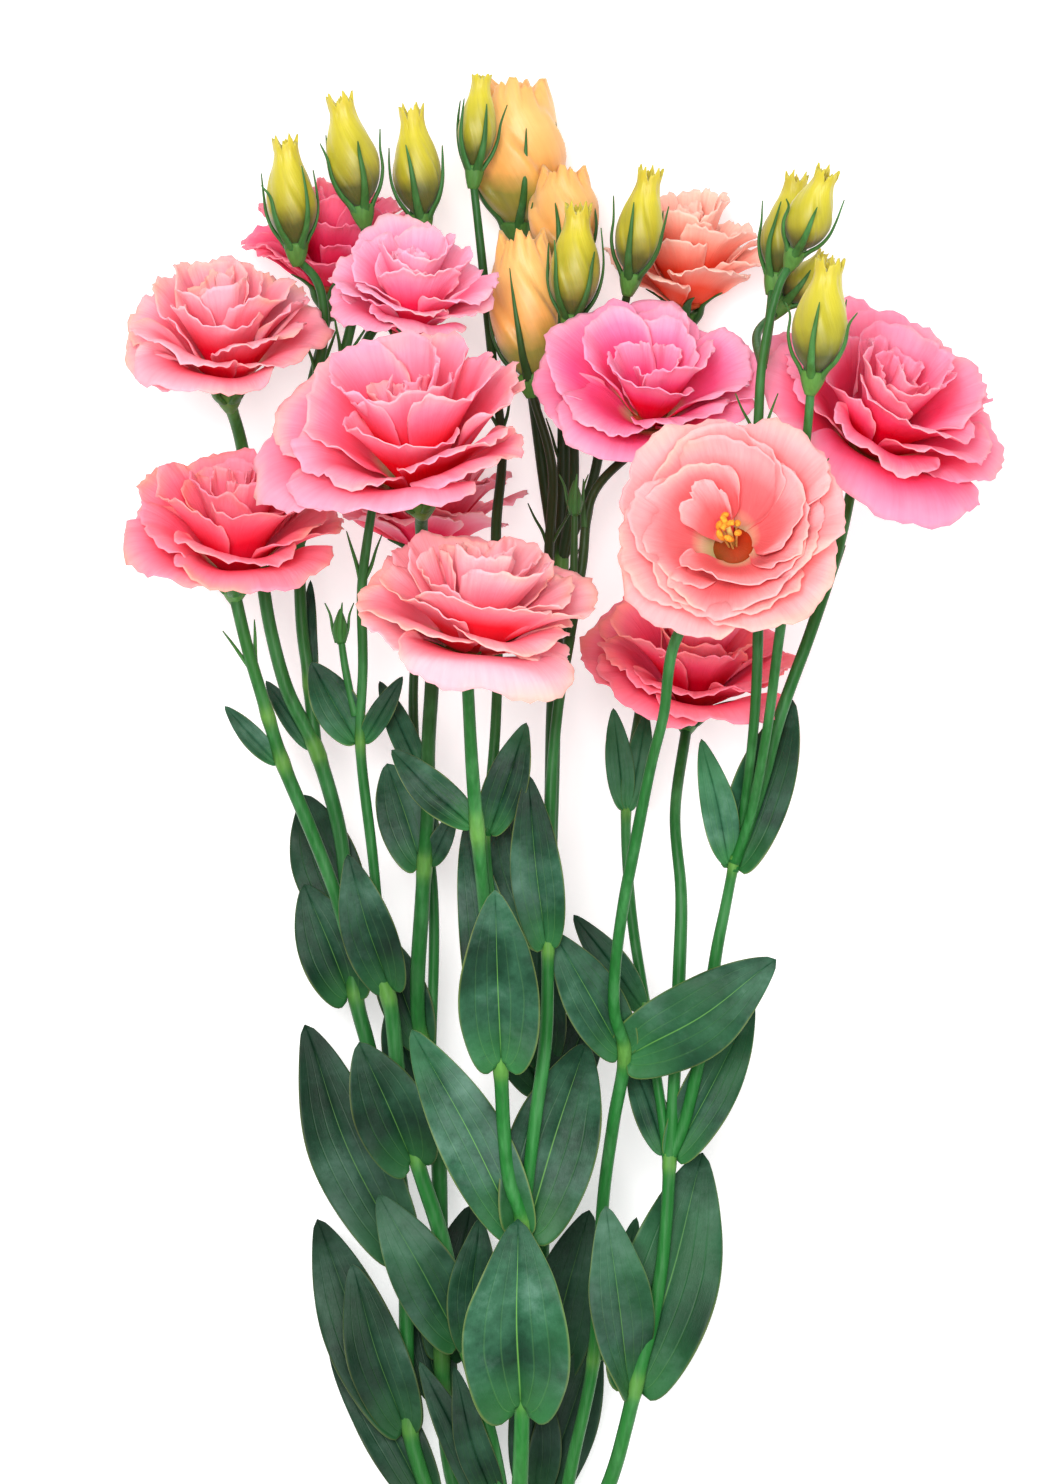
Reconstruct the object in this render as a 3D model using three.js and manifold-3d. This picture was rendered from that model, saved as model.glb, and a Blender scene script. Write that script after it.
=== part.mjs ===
// A hand-tied bunch of cut lisianthus (prairie gentian) laid on a table.
// Seven leafy stems, held by one raffia band near their cut ends, carry twelve double blooms,
// ten yellow-green buds and three half-open peach buds.
//
// Millimetres. x runs across the bunch, y from the cut ends towards the blooms, z up from the table.
// Every place below is written in that frame. At the end the group is slid in x and y
// so that its origin lies under the middle of the bunch, on the table.

import * as THREE from "three";
import { mergeVertices } from "three/addons/utils/BufferGeometryUtils.js";
import Module from "manifold-3d";

const wasm = await Module();
wasm.setup();

// ---------------------------------------------------------------- driving dimensions
const PETAL_THICKNESS = 0.7;
const LEAF_THICKNESS = 0.8;
const TRUNK_RADIUS = 2.1;
const BRANCH_RADIUS = 1.8;
const TWIG_RADIUS = 1.45;
const TUBE_SIDES = 5;
const TUBE_STEP = 31; // spacing of a stem's sections
const TWIG_STEP = 42; // and of a twig's
const BAND = { y: -75, width: 10, inner: 7.5, outer: 9.1, sides: 12, x: -3 };
const BAND_HEIGHT = BAND.outer * Math.cos(Math.PI / BAND.sides); // its middle, over its flat foot
const BUNDLE_PITCH = 4.8; // stem to stem inside the band
const CUT_Y = -116;

const COLOURS = {
  pink: 0xf27a94,
  rose: 0xe64a78,
  coral: 0xf28a86,
  peach: 0xf6b79f,
  bud: 0xd6d84c,
  apricot: 0xf4c57e,
  green: 0x3f8447,
  anther: 0xe9a320,
  raffia: 0xcdb380,
};

// ---------------------------------------------------------------- small helpers
const vec = (p) => new THREE.Vector3(...p);
const degrees = THREE.MathUtils.degToRad;
const mix = THREE.MathUtils.lerp;
const clamped = (t) => THREE.MathUtils.clamp(t, 0, 1);

// A closed triangle list as a solid, turned outside out if its winding came out reversed.
function solidFrom(points, triangles) {
  let volume = 0;
  for (const [a, b, c] of triangles) volume += points[a].dot(points[b].clone().cross(points[c]));
  const facing = volume < 0 ? triangles.map(([a, b, c]) => [a, c, b]) : triangles;
  return new wasm.Manifold(
    new wasm.Mesh({
      numProp: 3,
      vertProperties: new Float32Array(points.flatMap((p) => p.toArray())),
      triVerts: new Uint32Array(facing.flat()),
    }),
  );
}

function solidOfGeometry(geometry) {
  const bare = geometry.clone();
  bare.deleteAttribute("normal");
  bare.deleteAttribute("uv");
  const merged = mergeVertices(bare, 1e-4);
  return new wasm.Manifold(
    new wasm.Mesh({
      numProp: 3,
      vertProperties: new Float32Array(merged.attributes.position.array),
      triVerts: new Uint32Array(merged.index.array),
    }),
  );
}

function geometryOf(solid) {
  const mesh = solid.getMesh();
  return new THREE.BufferGeometry()
    .setAttribute("position", new THREE.BufferAttribute(mesh.vertProperties, 3))
    .setIndex(new THREE.BufferAttribute(mesh.triVerts, 1));
}

const joined = (solids) => solids.reduce((whole, next) => whole.add(next));

// A thin curved plate. surface(u, v) gives its middle, u in -1..1 across and v in 0..1 along.
// Both faces are split into the same triangles.
function blade(surface, columns, rows, thickness) {
  const step = 1e-3;
  const middle = [];
  const normals = [];
  for (let j = 0; j <= rows; j++)
    for (let i = 0; i <= columns; i++) {
      const u = (2 * i) / columns - 1;
      const v = j / rows;
      const along = surface(u, v + step).sub(surface(u, v - step));
      const across = surface(u + step, v).sub(surface(u - step, v));
      middle.push(surface(u, v));
      normals.push(along.cross(across).normalize());
    }
  const points = [thickness / 2, -thickness / 2].flatMap((offset) =>
    middle.map((p, k) => p.clone().addScaledVector(normals[k], offset)),
  );
  const under = middle.length;
  const at = (i, j) => j * (columns + 1) + i;
  const triangles = [];
  for (let j = 0; j < rows; j++)
    for (let i = 0; i < columns; i++) {
      const [a, b, c, d] = [at(i, j), at(i + 1, j), at(i + 1, j + 1), at(i, j + 1)];
      triangles.push([a, b, c], [a, c, d]);
      triangles.push([a + under, c + under, b + under], [a + under, d + under, c + under]);
    }
  const rim = [];
  for (let i = 0; i < columns; i++) rim.push([at(i, 0), at(i + 1, 0)]);
  for (let j = 0; j < rows; j++) rim.push([at(columns, j), at(columns, j + 1)]);
  for (let i = columns; i > 0; i--) rim.push([at(i, rows), at(i - 1, rows)]);
  for (let j = rows; j > 0; j--) rim.push([at(0, j), at(0, j - 1)]);
  for (const [a, b] of rim) triangles.push([a, a + under, b + under], [a, b + under, b]);
  return solidFrom(points, triangles);
}

// Rings of points joined side to side and closed by a fan at each end.
function ringed(rings) {
  const sides = rings[0].length;
  const points = rings.flat();
  const last = (rings.length - 1) * sides;
  const triangles = [];
  for (let start = 0; start < last; start += sides)
    for (let i = 0; i < sides; i++) {
      const [a, b] = [start + i, start + ((i + 1) % sides)];
      triangles.push([a, b, b + sides], [a, b + sides, a + sides]);
    }
  for (let i = 1; i < sides - 1; i++) {
    triangles.push([0, i + 1, i]);
    triangles.push([last, last + i, last + i + 1]);
  }
  return solidFrom(points, triangles);
}

const circle = (radius, height, sides, twist = 0) =>
  Array.from({ length: sides }, (_, i) => {
    const turn = (2 * Math.PI * i) / sides + twist;
    return new THREE.Vector3(radius * Math.cos(turn), radius * Math.sin(turn), height);
  });

const smooth = (route) => new THREE.CatmullRomCurve3(route.map(vec), false, "centripetal");

function tube(route, radius) {
  const curve = smooth(route);
  const outline = new THREE.Shape(
    Array.from({ length: TUBE_SIDES }, (_, i) => {
      const turn = (2 * Math.PI * i) / TUBE_SIDES;
      return new THREE.Vector2(radius * Math.cos(turn), radius * Math.sin(turn));
    }),
  );
  const step = radius > TWIG_RADIUS ? TUBE_STEP : TWIG_STEP;
  const steps = Math.max(2, Math.round(curve.getLength() / step));
  return solidOfGeometry(
    new THREE.ExtrudeGeometry(outline, { steps, bevelEnabled: false, extrudePath: curve }),
  );
}

// ---------------------------------------------------------------- flower heads
// A head is made about its own +z axis with its receptacle at the origin, then stood in place.

// Petals by whorl, in shares of the bloom's radius. lean is the angle from the bloom's axis
// at the petal's foot and at its tip; spread is its width, where 1 just meets its neighbours.
const WHORLS = {
  inner: { foot: 0.05, length: 1.18, spread: 1.05, lean: [15, 27], rows: 2 },
  middle: { foot: 0.08, length: 1.22, spread: 1.16, lean: [30, 60], rows: 2 },
  outer: { foot: 0.12, length: 1.17, spread: 1.16, lean: [47, 112], rows: 3 },
  wide: { foot: 0.1, length: 1.2, spread: 1.25, lean: [36, 84], rows: 3 },
  upright: { foot: 0.08, length: 0.62, spread: 0.28, lean: [8, 22], rows: 2 },
};
const FULL_BLOOM = { inner: 2, middle: 3, outer: 5 };
const SMALL_BLOOM = { middle: 3, outer: 4 };
const OPEN_BLOOM = { upright: 1, wide: 4, outer: 5 };
const PETAL_COLUMNS = 2;
const LEAN_POWER = 2.6; // above 1, a petal keeps its foot's lean and turns out near its tip
const PETAL_START = 0.07; // height of the petals' feet, inside the core
const CORE = [
  [0.07, 0.012],
  [0.27, 0.08],
  [0.27, 0.12],
];
const TUCK = 0.08; // how far one edge lies outside, and the other inside, of the whorl's middle
const TIP_ROUNDING = 0.08; // how much shorter a petal is along its edges than along its middle
const TIP_WAVE = 0.05; // how far a petal's tip stands in or out
const FOOT_WIDTH = 0.45; // a petal's width at its foot, as a share of its widest
const WHORL_STEP = 0.37; // turn from each whorl to the next, as a share of a petal's place
const RIM_HEIGHT = 0.8; // height of the outer rim that these whorls give, as a share of the radius

// How far out and how high a petal's middle line is at a share t of its length.
function petalLine(whorl, radius, t) {
  const steps = 12;
  const leanAt = (share) => degrees(mix(...whorl.lean, Math.pow(Math.max(0, share), LEAN_POWER)));
  const piece = (whorl.length * radius * t) / steps;
  let out = whorl.foot * radius;
  let up = PETAL_START * radius;
  for (let k = 0; k < steps; k++) {
    const lean = leanAt((t * (k + 0.5)) / steps);
    out += Math.sin(lean) * piece;
    up += Math.cos(lean) * piece;
  }
  return { out, up, lean: leanAt(t) };
}

// One petal, a patch of the round bowl that its middle line sweeps out about the bloom's axis.
// One side edge is tucked inside its neighbour and the other laps outside, so none cross.
// The free margin is rounded, and the middle of the tip stands in or out by its wave.
function petalSurface(whorl, radius, rise, azimuth, halfTurn, wave) {
  return (u, v) => {
    const { out, up, lean } = petalLine(whorl, radius, v * (1 - TIP_ROUNDING * u * u));
    const share = mix(FOOT_WIDTH, 1, Math.sin((Math.PI / 2) * clamped(1.6 * v)));
    const turn = azimuth + u * halfTurn * share;
    const stand = TUCK * radius * u * v + wave * v * v * (1 - u * u);
    const reach = out + Math.cos(lean) * stand;
    const height = rise * (up - Math.sin(lean) * stand);
    return new THREE.Vector3(reach * Math.cos(turn), reach * Math.sin(turn), height);
  };
}

// How much a bloom's heights are stretched, so that its rim stands at its depth.
const riseOf = (bloom) => bloom.depth / (RIM_HEIGHT * bloom.radius);

function bloomSolid(bloom) {
  const { radius, turn, petals } = bloom;
  const rise = riseOf(bloom);
  const solids = [ringed(CORE.map(([r, z]) => circle(r * radius, z * rise * radius, 6)))];
  Object.entries(petals).forEach(([kind, count], order) => {
    for (let k = 0; k < count; k++) {
      const azimuth = turn + ((k + WHORL_STEP * order) * 2 * Math.PI) / count;
      const wave = TIP_WAVE * radius * Math.sin(2.4 * k + turn);
      const halfTurn = (WHORLS[kind].spread * Math.PI) / count;
      const surface = petalSurface(WHORLS[kind], radius, rise, azimuth, halfTurn, wave);
      solids.push(blade(surface, PETAL_COLUMNS, WHORLS[kind].rows, PETAL_THICKNESS));
    }
  });
  return joined(solids);
}

// A bud's outline: its radius, as a share of the widest, at shares of its length.
const BUD_PROFILE = [
  [0.28, 0.015],
  [0.9, 0.22],
  [1.0, 0.42],
  [0.46, 0.86],
  [0.52, 1.0],
];
const BUD_SIDES = 8;
const BUD_RIDGE = 0.05; // how far a ridge stands out, and a furrow lies in

function budRadius(bud, share) {
  const above = BUD_PROFILE.findIndex(([, z]) => z >= share);
  if (above <= 0) return BUD_PROFILE[0][0] * bud.radius;
  const [[r0, z0], [r1, z1]] = [BUD_PROFILE[above - 1], BUD_PROFILE[above]];
  return mix(r0, r1, (share - z0) / (z1 - z0)) * bud.radius;
}

// The furled petals twist as they rise, ridge and furrow in turn round the bud.
function budSolid(bud) {
  return ringed(
    BUD_PROFILE.map(([r, z]) =>
      circle(r * bud.radius, z * bud.length, BUD_SIDES, z).map((p, i) => {
        const swell = i % 2 === 0 ? 1 + BUD_RIDGE : 1 - BUD_RIDGE;
        return new THREE.Vector3(p.x * swell, p.y * swell, p.z);
      }),
    ),
  );
}

// The green parts that hold a head: a small cup on the stem's end, with five sepals that rise
// from its rim. spine gives a sepal's [outwards, up] steps, the last of them its tip.
const CUP_DEPTH = 6;
const CUP_GAP = 0.35; // air between the cup's top and the flower that it holds
const SEPAL_INSET = 1; // depth of a sepal's foot in the rim
const SEPAL_HALF_TURN = 0.3; // half of a sepal's share of the rim, in radians
const SEPAL_TAPER = 0.7; // a sepal's width at each step, as a share of the step before

function calyx(cupRadius, spine, azimuth) {
  const points = circle(TWIG_RADIUS * 0.9, -CUP_DEPTH, 5, azimuth);
  const triangles = [[0, 2, 1], [0, 3, 2], [0, 4, 3]];
  const inner = [];
  for (let k = 0; k < 5; k++) {
    const turn = azimuth + (2 * Math.PI * k) / 5;
    const spoke = (out, up, side) =>
      vec([out * Math.cos(turn) - side * Math.sin(turn), out * Math.sin(turn) + side * Math.cos(turn), up]);
    let half = cupRadius * Math.sin(SEPAL_HALF_TURN);
    const rim = cupRadius * Math.cos(SEPAL_HALF_TURN);
    let ring = [points.length, points.length + 1, points.length + 2];
    points.push(spoke(rim, -CUP_GAP, -half), spoke(rim, -CUP_GAP, half));
    points.push(spoke(rim - SEPAL_INSET, -CUP_GAP, 0));
    inner.push(ring);
    triangles.push([k, ring[1], ring[0]]);
    for (const [out, up] of spine.slice(0, -1)) {
      half *= SEPAL_TAPER;
      const next = ring.map((_, i) => points.length + i);
      points.push(spoke(out + half, up, -half), spoke(out + half, up, half), spoke(out, up, 0));
      for (let i = 0; i < 3; i++) {
        const [a, b] = [i, (i + 1) % 3];
        triangles.push([ring[a], ring[b], next[b]], [ring[a], next[b], next[a]]);
      }
      ring = next;
    }
    const tip = points.length;
    points.push(spoke(...spine.at(-1), 0));
    for (let i = 0; i < 3; i++) triangles.push([ring[i], ring[(i + 1) % 3], tip]);
  }
  for (let k = 0; k < 5; k++) {
    const [here, next] = [inner[k], inner[(k + 1) % 5]];
    triangles.push([k, (k + 1) % 5, here[1]], [(k + 1) % 5, next[0], here[1]]);
    triangles.push([here[1], next[0], next[2]], [here[1], next[2], here[2]]);
  }
  triangles.push(...[2, 3, 4].map((k) => [inner[0][2], inner[k - 1][2], inner[k][2]]));
  return solidFrom(points, triangles);
}

// A bloom's sepals spread beneath its outer petals.
const bloomCalyx = (bloom) =>
  calyx(
    0.1 * bloom.radius + 0.9,
    [[0.38 * bloom.radius + 3, 0.15 * riseOf(bloom) * bloom.radius]],
    bloom.turn,
  );

// A bud's sepals hug it and flick out at their tips.
function budCalyx(bud) {
  const hug = [budRadius(bud, 0.26) * 1.06 + 1.2, 0.26 * bud.length];
  const tip = [budRadius(bud, 0.7) + 4, 0.74 * bud.length];
  return calyx(0.3 * bud.radius + 1, [hug, tip], bud.turn);
}

// Stands a head on its foot with its axis along its given direction.
function standing(head, solid) {
  const turn = new THREE.Quaternion().setFromUnitVectors(vec([0, 0, 1]), axisOf(head));
  const place = new THREE.Matrix4().compose(footOf(head), turn, vec([1, 1, 1]));
  return solid.transform(place.toArray());
}

const axisOf = (head) => vec(head.axis).normalize();
const footOf = (head) =>
  head.foot ? vec(head.foot) : vec(head.at).addScaledVector(axisOf(head), -head.depth);

// ---------------------------------------------------------------- leaves
const LEAF_ROWS = 4;
const SMALL_LEAF = { width: 21, rows: 3 };
const BRACT = { width: 8, rows: 2 };

function leafRows({ width }) {
  if (width < BRACT.width) return BRACT.rows;
  return width < SMALL_LEAF.width ? SMALL_LEAF.rows : LEAF_ROWS;
}

// Half width of a leaf along its length, as a share of the widest: it clasps its stem,
// is broadest below its middle and ends in a point.
function leafOutline(v) {
  const t = clamped(v);
  const body = Math.pow(Math.sin(Math.PI * Math.pow(t, 0.8)), 0.75);
  return 0.05 + 0.12 * Math.pow(1 - t, 3) + 0.95 * body;
}

// A leaf from its foot on the stem to its tip, folded a little along its midrib and bowed
// along its length. face is the way that its upper side looks, and twist is how many degrees
// its foot is turned round its midrib; the turn fades out towards the tip.
function leafSurface({ foot, tip, width, face = [0, 0, 1], bow = 0.06, fold = 0.25, twist = 0 }) {
  const along = vec(tip).sub(foot);
  const length = along.length();
  along.normalize();
  const up = vec(face);
  up.addScaledVector(along, -up.dot(along)).normalize();
  const across = along.clone().cross(up);
  return (u, v) => {
    const half = 0.5 * width * leafOutline(v);
    const turn = degrees(twist * (1 - v));
    const over = fold * Math.abs(u) * half;
    const side = u * half * Math.cos(turn) - over * Math.sin(turn);
    const lift = bow * length * Math.sin(Math.PI * v) + u * half * Math.sin(turn);
    return foot
      .clone()
      .addScaledVector(along, v * length)
      .addScaledVector(across, side)
      .addScaledVector(up, lift + over * Math.cos(turn));
  };
}

// The point of a route at a given y: where a leaf's foot is sunk into its stem.
function rootAt(route, y) {
  const points = smooth(route).getPoints(300);
  return points.reduce((best, p) => (Math.abs(p.y - y) < Math.abs(best.y - y) ? p : best));
}

// ---------------------------------------------------------------- the bunch
// Blooms: at is the middle of the rim; axis is the way that the flower looks.
// Buds: foot is where the cup holds it.
const BLOOMS = {
  bloom_1: {
    at: [-78.3, 295.1, 62],
    axis: [-0.1, 0.87, 0.48],
    radius: 22.8,
    depth: 24,
    turn: 0.3,
    colour: "coral",
  },
  bloom_2: {
    at: [-50.8, 318.2, 23.4],
    axis: [0, 0.98, 0.17],
    radius: 20.3,
    depth: 20,
    turn: 1.1,
    colour: "rose",
  },
  bloom_3: {
    at: [-29.5, 304, 66],
    axis: [0.03, 0.92, 0.4],
    radius: 19.4,
    depth: 19,
    turn: 0.6,
    colour: "pink",
  },
  bloom_4: {
    at: [-31.8, 269.5, 111.5],
    axis: [-0.16, 0.85, 0.5],
    radius: 30.5,
    depth: 27,
    turn: 0.2,
    colour: "pink",
  },
  bloom_5: {
    at: [-74.1, 246, 70],
    axis: [0, 0.87, 0.5],
    radius: 24.8,
    depth: 23,
    turn: 0.9,
    colour: "coral",
  },
  bloom_6: {
    at: [-13.3, 224.2, 112],
    axis: [0.1, 0.93, 0.36],
    radius: 27.5,
    depth: 19,
    turn: 0,
    colour: "pink",
  },
  bloom_7: {
    at: [30, 280.5, 69],
    axis: [0, 0.74, 0.67],
    radius: 25,
    depth: 21,
    turn: 0.5,
    colour: "pink",
  },
  bloom_8: {
    at: [48, 241, 118],
    axis: [-0.14, 0.4, 0.9],
    radius: 26.6,
    depth: 21,
    turn: 2.1,
    colour: "peach",
  },
  bloom_9: {
    at: [92, 275.6, 64],
    axis: [0.36, 0.76, 0.54],
    radius: 30,
    depth: 24,
    turn: 0.4,
    colour: "rose",
  },
  bloom_10: {
    at: [39.5, 314.6, 22.07],
    axis: [0, 0.97, 0.25],
    radius: 19,
    depth: 21,
    turn: 0.8,
    colour: "peach",
  },
  bloom_11: {
    at: [41.7, 212.2, 45],
    axis: [0.08, 0.86, 0.5],
    radius: 24.7,
    depth: 22,
    turn: 0.7,
    colour: "rose",
  },
  bloom_12: {
    at: [-26, 251, 23.5],
    axis: [0, 0.99, 0.12],
    radius: 22,
    depth: 19,
    turn: 0.1,
    colour: "pink",
  },
};
const BUDS = {
  bud_1: { foot: [-59, 311, 47], axis: [-0.1, 1, 0.1], length: 26.5, radius: 6.3, turn: 0.4 },
  bud_2: { foot: [-42.5, 320.5, 46], axis: [-0.2, 1, 0.05], length: 28, radius: 6.6, turn: 0.2 },
  bud_3: { foot: [-27.5, 318.5, 40], axis: [-0.09, 1, 0.05], length: 27, radius: 6.1, turn: 0.9 },
  bud_4: { foot: [-14, 331, 33], axis: [0.08, 1, 0.03], length: 23.5, radius: 4.8, turn: 0 },
  bud_5: { foot: [25.5, 303.5, 48], axis: [0.19, 1, 0.15], length: 26.5, radius: 6, turn: 0.5 },
  bud_6: { foot: [66.5, 308.5, 82], axis: [0.4, 1, 0.3], length: 21.5, radius: 5.8, turn: 0.7 },
  bud_7: { foot: [61.5, 303, 66], axis: [0.22, 1, 0], length: 25, radius: 5.6, turn: 0.1 },
  bud_8: { foot: [64.5, 296.5, 54], axis: [0.7, 0.8, 0], length: 15, radius: 4.5, turn: 0.3 },
  bud_9: { foot: [70.3, 277.5, 99], axis: [0.15, 1, 0.1], length: 28, radius: 7, turn: 0.6 },
  bud_10: { foot: [10.5, 293, 50.5], axis: [0.06, 1, 0.08], length: 27.5, radius: 6.4, turn: 0.2 },
  peach_bud_1: { foot: [-3.5, 317, 17], axis: [0, 1, 0], length: 36, radius: 10.8, turn: 1.13 },
  peach_bud_2: { foot: [8.5, 305.5, 27], axis: [0, 1, 0], length: 25, radius: 8, turn: 0.83 },
  peach_bud_3: { foot: [0, 278, 42], axis: [-0.06, 1, 0], length: 35.5, radius: 8.3, turn: 0.8 },
};
const BLOOM_PETALS = {
  bloom_2: SMALL_BLOOM,
  bloom_8: OPEN_BLOOM,
  bloom_10: SMALL_BLOOM,
  bloom_12: SMALL_BLOOM,
};

// Stems: seat is where the stem sits in the band, either its middle or an angle round it.
// The first route is the trunk. A route that names a head runs on into that head's cup.
// A leaf is sunk into a route, by its number, at a given y.
const STEMS = {
  stem_left: {
    seat: 180,
    routes: [
      {
        radius: TRUNK_RADIUS,
        head: "bloom_1",
        points: [
          [-27.5, 0, 15], [-30.5, 12, 16], [-32.5, 71, 22], [-40.7, 108, 27], [-44.2, 122, 28],
          [-47.7, 161, 31], [-52.7, 180, 33], [-54.5, 185, 33.5], [-61, 198, 35],
          [-65.2, 213, 36], [-67.2, 224.5, 37], [-70, 245, 34.5], [-73, 262, 41],
        ],
      },
      {
        radius: BRANCH_RADIUS,
        points: [
          [-54, 183, 33.5], [-56.2, 204.5, 32], [-57.5, 214, 31], [-58.2, 229.5, 31],
          [-58, 250, 33],
        ],
      },
      {
        radius: TWIG_RADIUS,
        head: "bud_1",
        points: [
          [-58, 248, 33], [-54, 275, 40], [-51.8, 292, 42.5], [-53.6, 301.5, 44],
        ],
      },
      {
        radius: TWIG_RADIUS,
        head: "bud_2",
        points: [
          [-58, 248, 33], [-49, 275, 40], [-43, 300, 43.5], [-41.5, 311, 45],
        ],
      },
      { radius: TWIG_RADIUS, head: "bloom_2", points: [[-58, 248, 33], [-56, 272, 27]] },
      {
        radius: TWIG_RADIUS,
        head: "bud_3",
        points: [
          [-50, 271, 39.5], [-38, 292, 38.5], [-28, 308, 38.5],
        ],
      },
    ],
    leaves: [
      { on: 0, y: 13, tip: [-54, 64.5, 12], width: 19 },
      { on: 0, y: 12, tip: [-45, 53.5, 24], width: 16 },
      { on: 0, y: -7, tip: [-51, 34.5, 8], width: 15 },
      { on: 0, y: 56, tip: [-57, 114, 20], width: 21 },
      { on: 0, y: 122, tip: [-57, 149.5, 30], width: 17 },
      { on: 0, y: 141, tip: [-57, 172, 22], width: 17 },
      { on: 0, y: 184, tip: [-66.7, 201, 30], width: 6 },
      { on: 1, y: 200, tip: [-55.5, 226, 24], width: 5 },
    ],
  },
  stem_left_front: {
    seat: "middle",
    routes: [
      {
        radius: TRUNK_RADIUS,
        head: "bloom_5",
        points: [
          [-8.2, 0, 23], [-16.7, 35, 28], [-22.5, 61, 32], [-28.7, 80.5, 35], [-33, 101, 38],
          [-36.5, 123.5, 41], [-43.7, 132, 42.5], [-49.5, 149, 45], [-56, 165.5, 48],
          [-62.2, 180.5, 50.5], [-67, 196, 53], [-71, 209.5, 55.5],
        ],
      },
      {
        radius: TWIG_RADIUS,
        head: "bloom_3",
        points: [
          [-36.3, 122, 41], [-39.5, 156, 44], [-42.7, 185.5, 47], [-42, 204.5, 50],
          [-42.2, 224, 53], [-41, 235, 55], [-38, 252, 57],
        ],
      },
      { radius: 1, points: [[-44, 192, 48], [-46.5, 204.5, 48.5], [-47.7, 213, 49]] },
    ],
    leaves: [
      { on: 0, y: 35, tip: [-38, 71, 36], width: 17 },
      { on: 0, y: 33, tip: [-12.7, 65, 38], width: 13 },
      { on: 0, y: -12, tip: [-28, 29, 26], width: 10 },
      { on: 0, y: -10, tip: [-19, 27, 31], width: 9 },
      { on: 0, y: 81, tip: [-43, 110, 45], width: 20 },
      { on: 0, y: 123.5, tip: [-45.7, 157, 53], width: 14 },
      { on: 0, y: 180.5, tip: [-76.7, 194.5, 50], width: 6 },
      { on: 1, y: 185.5, tip: [-55, 205.5, 45], width: 12 },
      { on: 1, y: 185.5, tip: [-32, 202, 50], width: 6 },
    ],
    tips: [[-47.7, 211, 49]],
  },
  stem_front: {
    seat: 120,
    routes: [
      {
        radius: TRUNK_RADIUS,
        head: "bloom_6",
        points: [
          [-2.5, 0, 39], [-2, 19, 45], [-2, 65.5, 58], [-5, 75, 61.5], [-6.5, 88, 65],
          [-7.5, 106, 70], [-11.5, 146.5, 82], [-14.2, 176.5, 92.5],
        ],
      },
      {
        radius: BRANCH_RADIUS,
        points: [
          [-2, 63, 57.5], [1.2, 90, 61], [4, 112, 63], [4.5, 135, 65], [5.2, 172, 66],
          [7, 194, 65], [10, 212, 63],
        ],
      },
      {
        radius: TWIG_RADIUS,
        head: "bloom_7",
        points: [
          [9.8, 211, 63], [13, 229.5, 60], [16, 248, 57],
        ],
      },
      {
        radius: TWIG_RADIUS,
        head: "peach_bud_3",
        points: [
          [9.8, 211, 63], [5, 228, 54], [5.5, 255, 43],
        ],
      },
      {
        radius: TWIG_RADIUS,
        points: [
          [-7, 104, 69.5], [-6.2, 135, 71], [-9.7, 147.5, 72], [-11.2, 164, 72],
        ],
      },
      {
        radius: TWIG_RADIUS,
        head: "bud_4",
        points: [
          [-11, 162, 72], [-8.7, 188, 70], [-8, 215, 66], [-8.5, 239, 60], [-7, 258, 54],
          [-9.5, 282, 42], [-12.2, 308, 34],
        ],
      },
      { radius: 1, points: [[11, 216, 62.5], [11, 230, 64], [11.2, 245, 66]] },
    ],
    leaves: [
      { on: 0, y: 20, tip: [-3, 65, 66], width: 28, bow: 0.1 },
      { on: 0, y: 64, tip: [-29.7, 113.7, 62], width: 18 },
      { on: 0, y: 64, tip: [14, 110, 51], width: 23 },
      { on: 0, y: 106, tip: [-8.7, 148.5, 96], width: 21, bow: 0.04 },
      { on: 0, y: 106, tip: [-16, 165, 66], width: 14 },
      { on: 0, y: 165.5, tip: [-34.5, 183.5, 82], width: 10 },
      { on: 4, y: 163, tip: [-1, 190, 76], width: 11 },
      { on: 1, y: 135, tip: [-0.5, 177, 78], width: 13 },
      { on: 1, y: 134, tip: [-8, 176, 53], width: 15 },
    ],
    tips: [[11.2, 243, 66]],
  },
  stem_middle: {
    seat: 0,
    routes: [
      {
        radius: BRANCH_RADIUS,
        head: "bloom_8",
        points: [
          [10, 0, 28], [16, 29.5, 34], [18.5, 71, 42], [21, 90, 48], [23.7, 108, 56],
          [21.2, 117.5, 62], [21.2, 127.5, 66], [23.2, 144, 73], [26.2, 160, 79],
          [30.2, 180, 85], [33.2, 192, 88.5], [36.5, 211.5, 93],
        ],
      },
    ],
    leaves: [
      { on: 0, y: 30, tip: [27, 65.5, 29], width: 9 },
      { on: 0, y: 108, tip: [6, 137.7, 62], width: 15 },
      { on: 0, y: 107, tip: [61.5, 131, 66], width: 20 },
    ],
  },
  stem_right: {
    seat: 60,
    routes: [
      {
        radius: TRUNK_RADIUS,
        points: [
          [20.5, 0, 36], [24, 12.5, 39.5], [27.5, 27.5, 42.5], [31, 41, 44], [33.3, 55, 45],
          [34.6, 70, 45.8], [35.2, 83, 46],
        ],
      },
      {
        radius: TWIG_RADIUS,
        head: "bloom_10",
        points: [
          [34.6, 80, 46], [33.7, 88.5, 46], [29.2, 118.5, 45], [26.2, 137, 43], [24.7, 152, 40],
          [24.2, 167, 36], [25.7, 181, 30], [28, 195, 21], [30, 208, 15], [31, 222, 12.5],
          [34, 250, 15], [38, 278, 19],
        ],
      },
      {
        radius: BRANCH_RADIUS,
        head: "bloom_11",
        points: [
          [35, 80, 46], [35.7, 90, 47], [37.5, 127.5, 49], [38, 147, 48.5], [36.5, 167, 45],
        ],
      },
      {
        radius: BRANCH_RADIUS,
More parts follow.
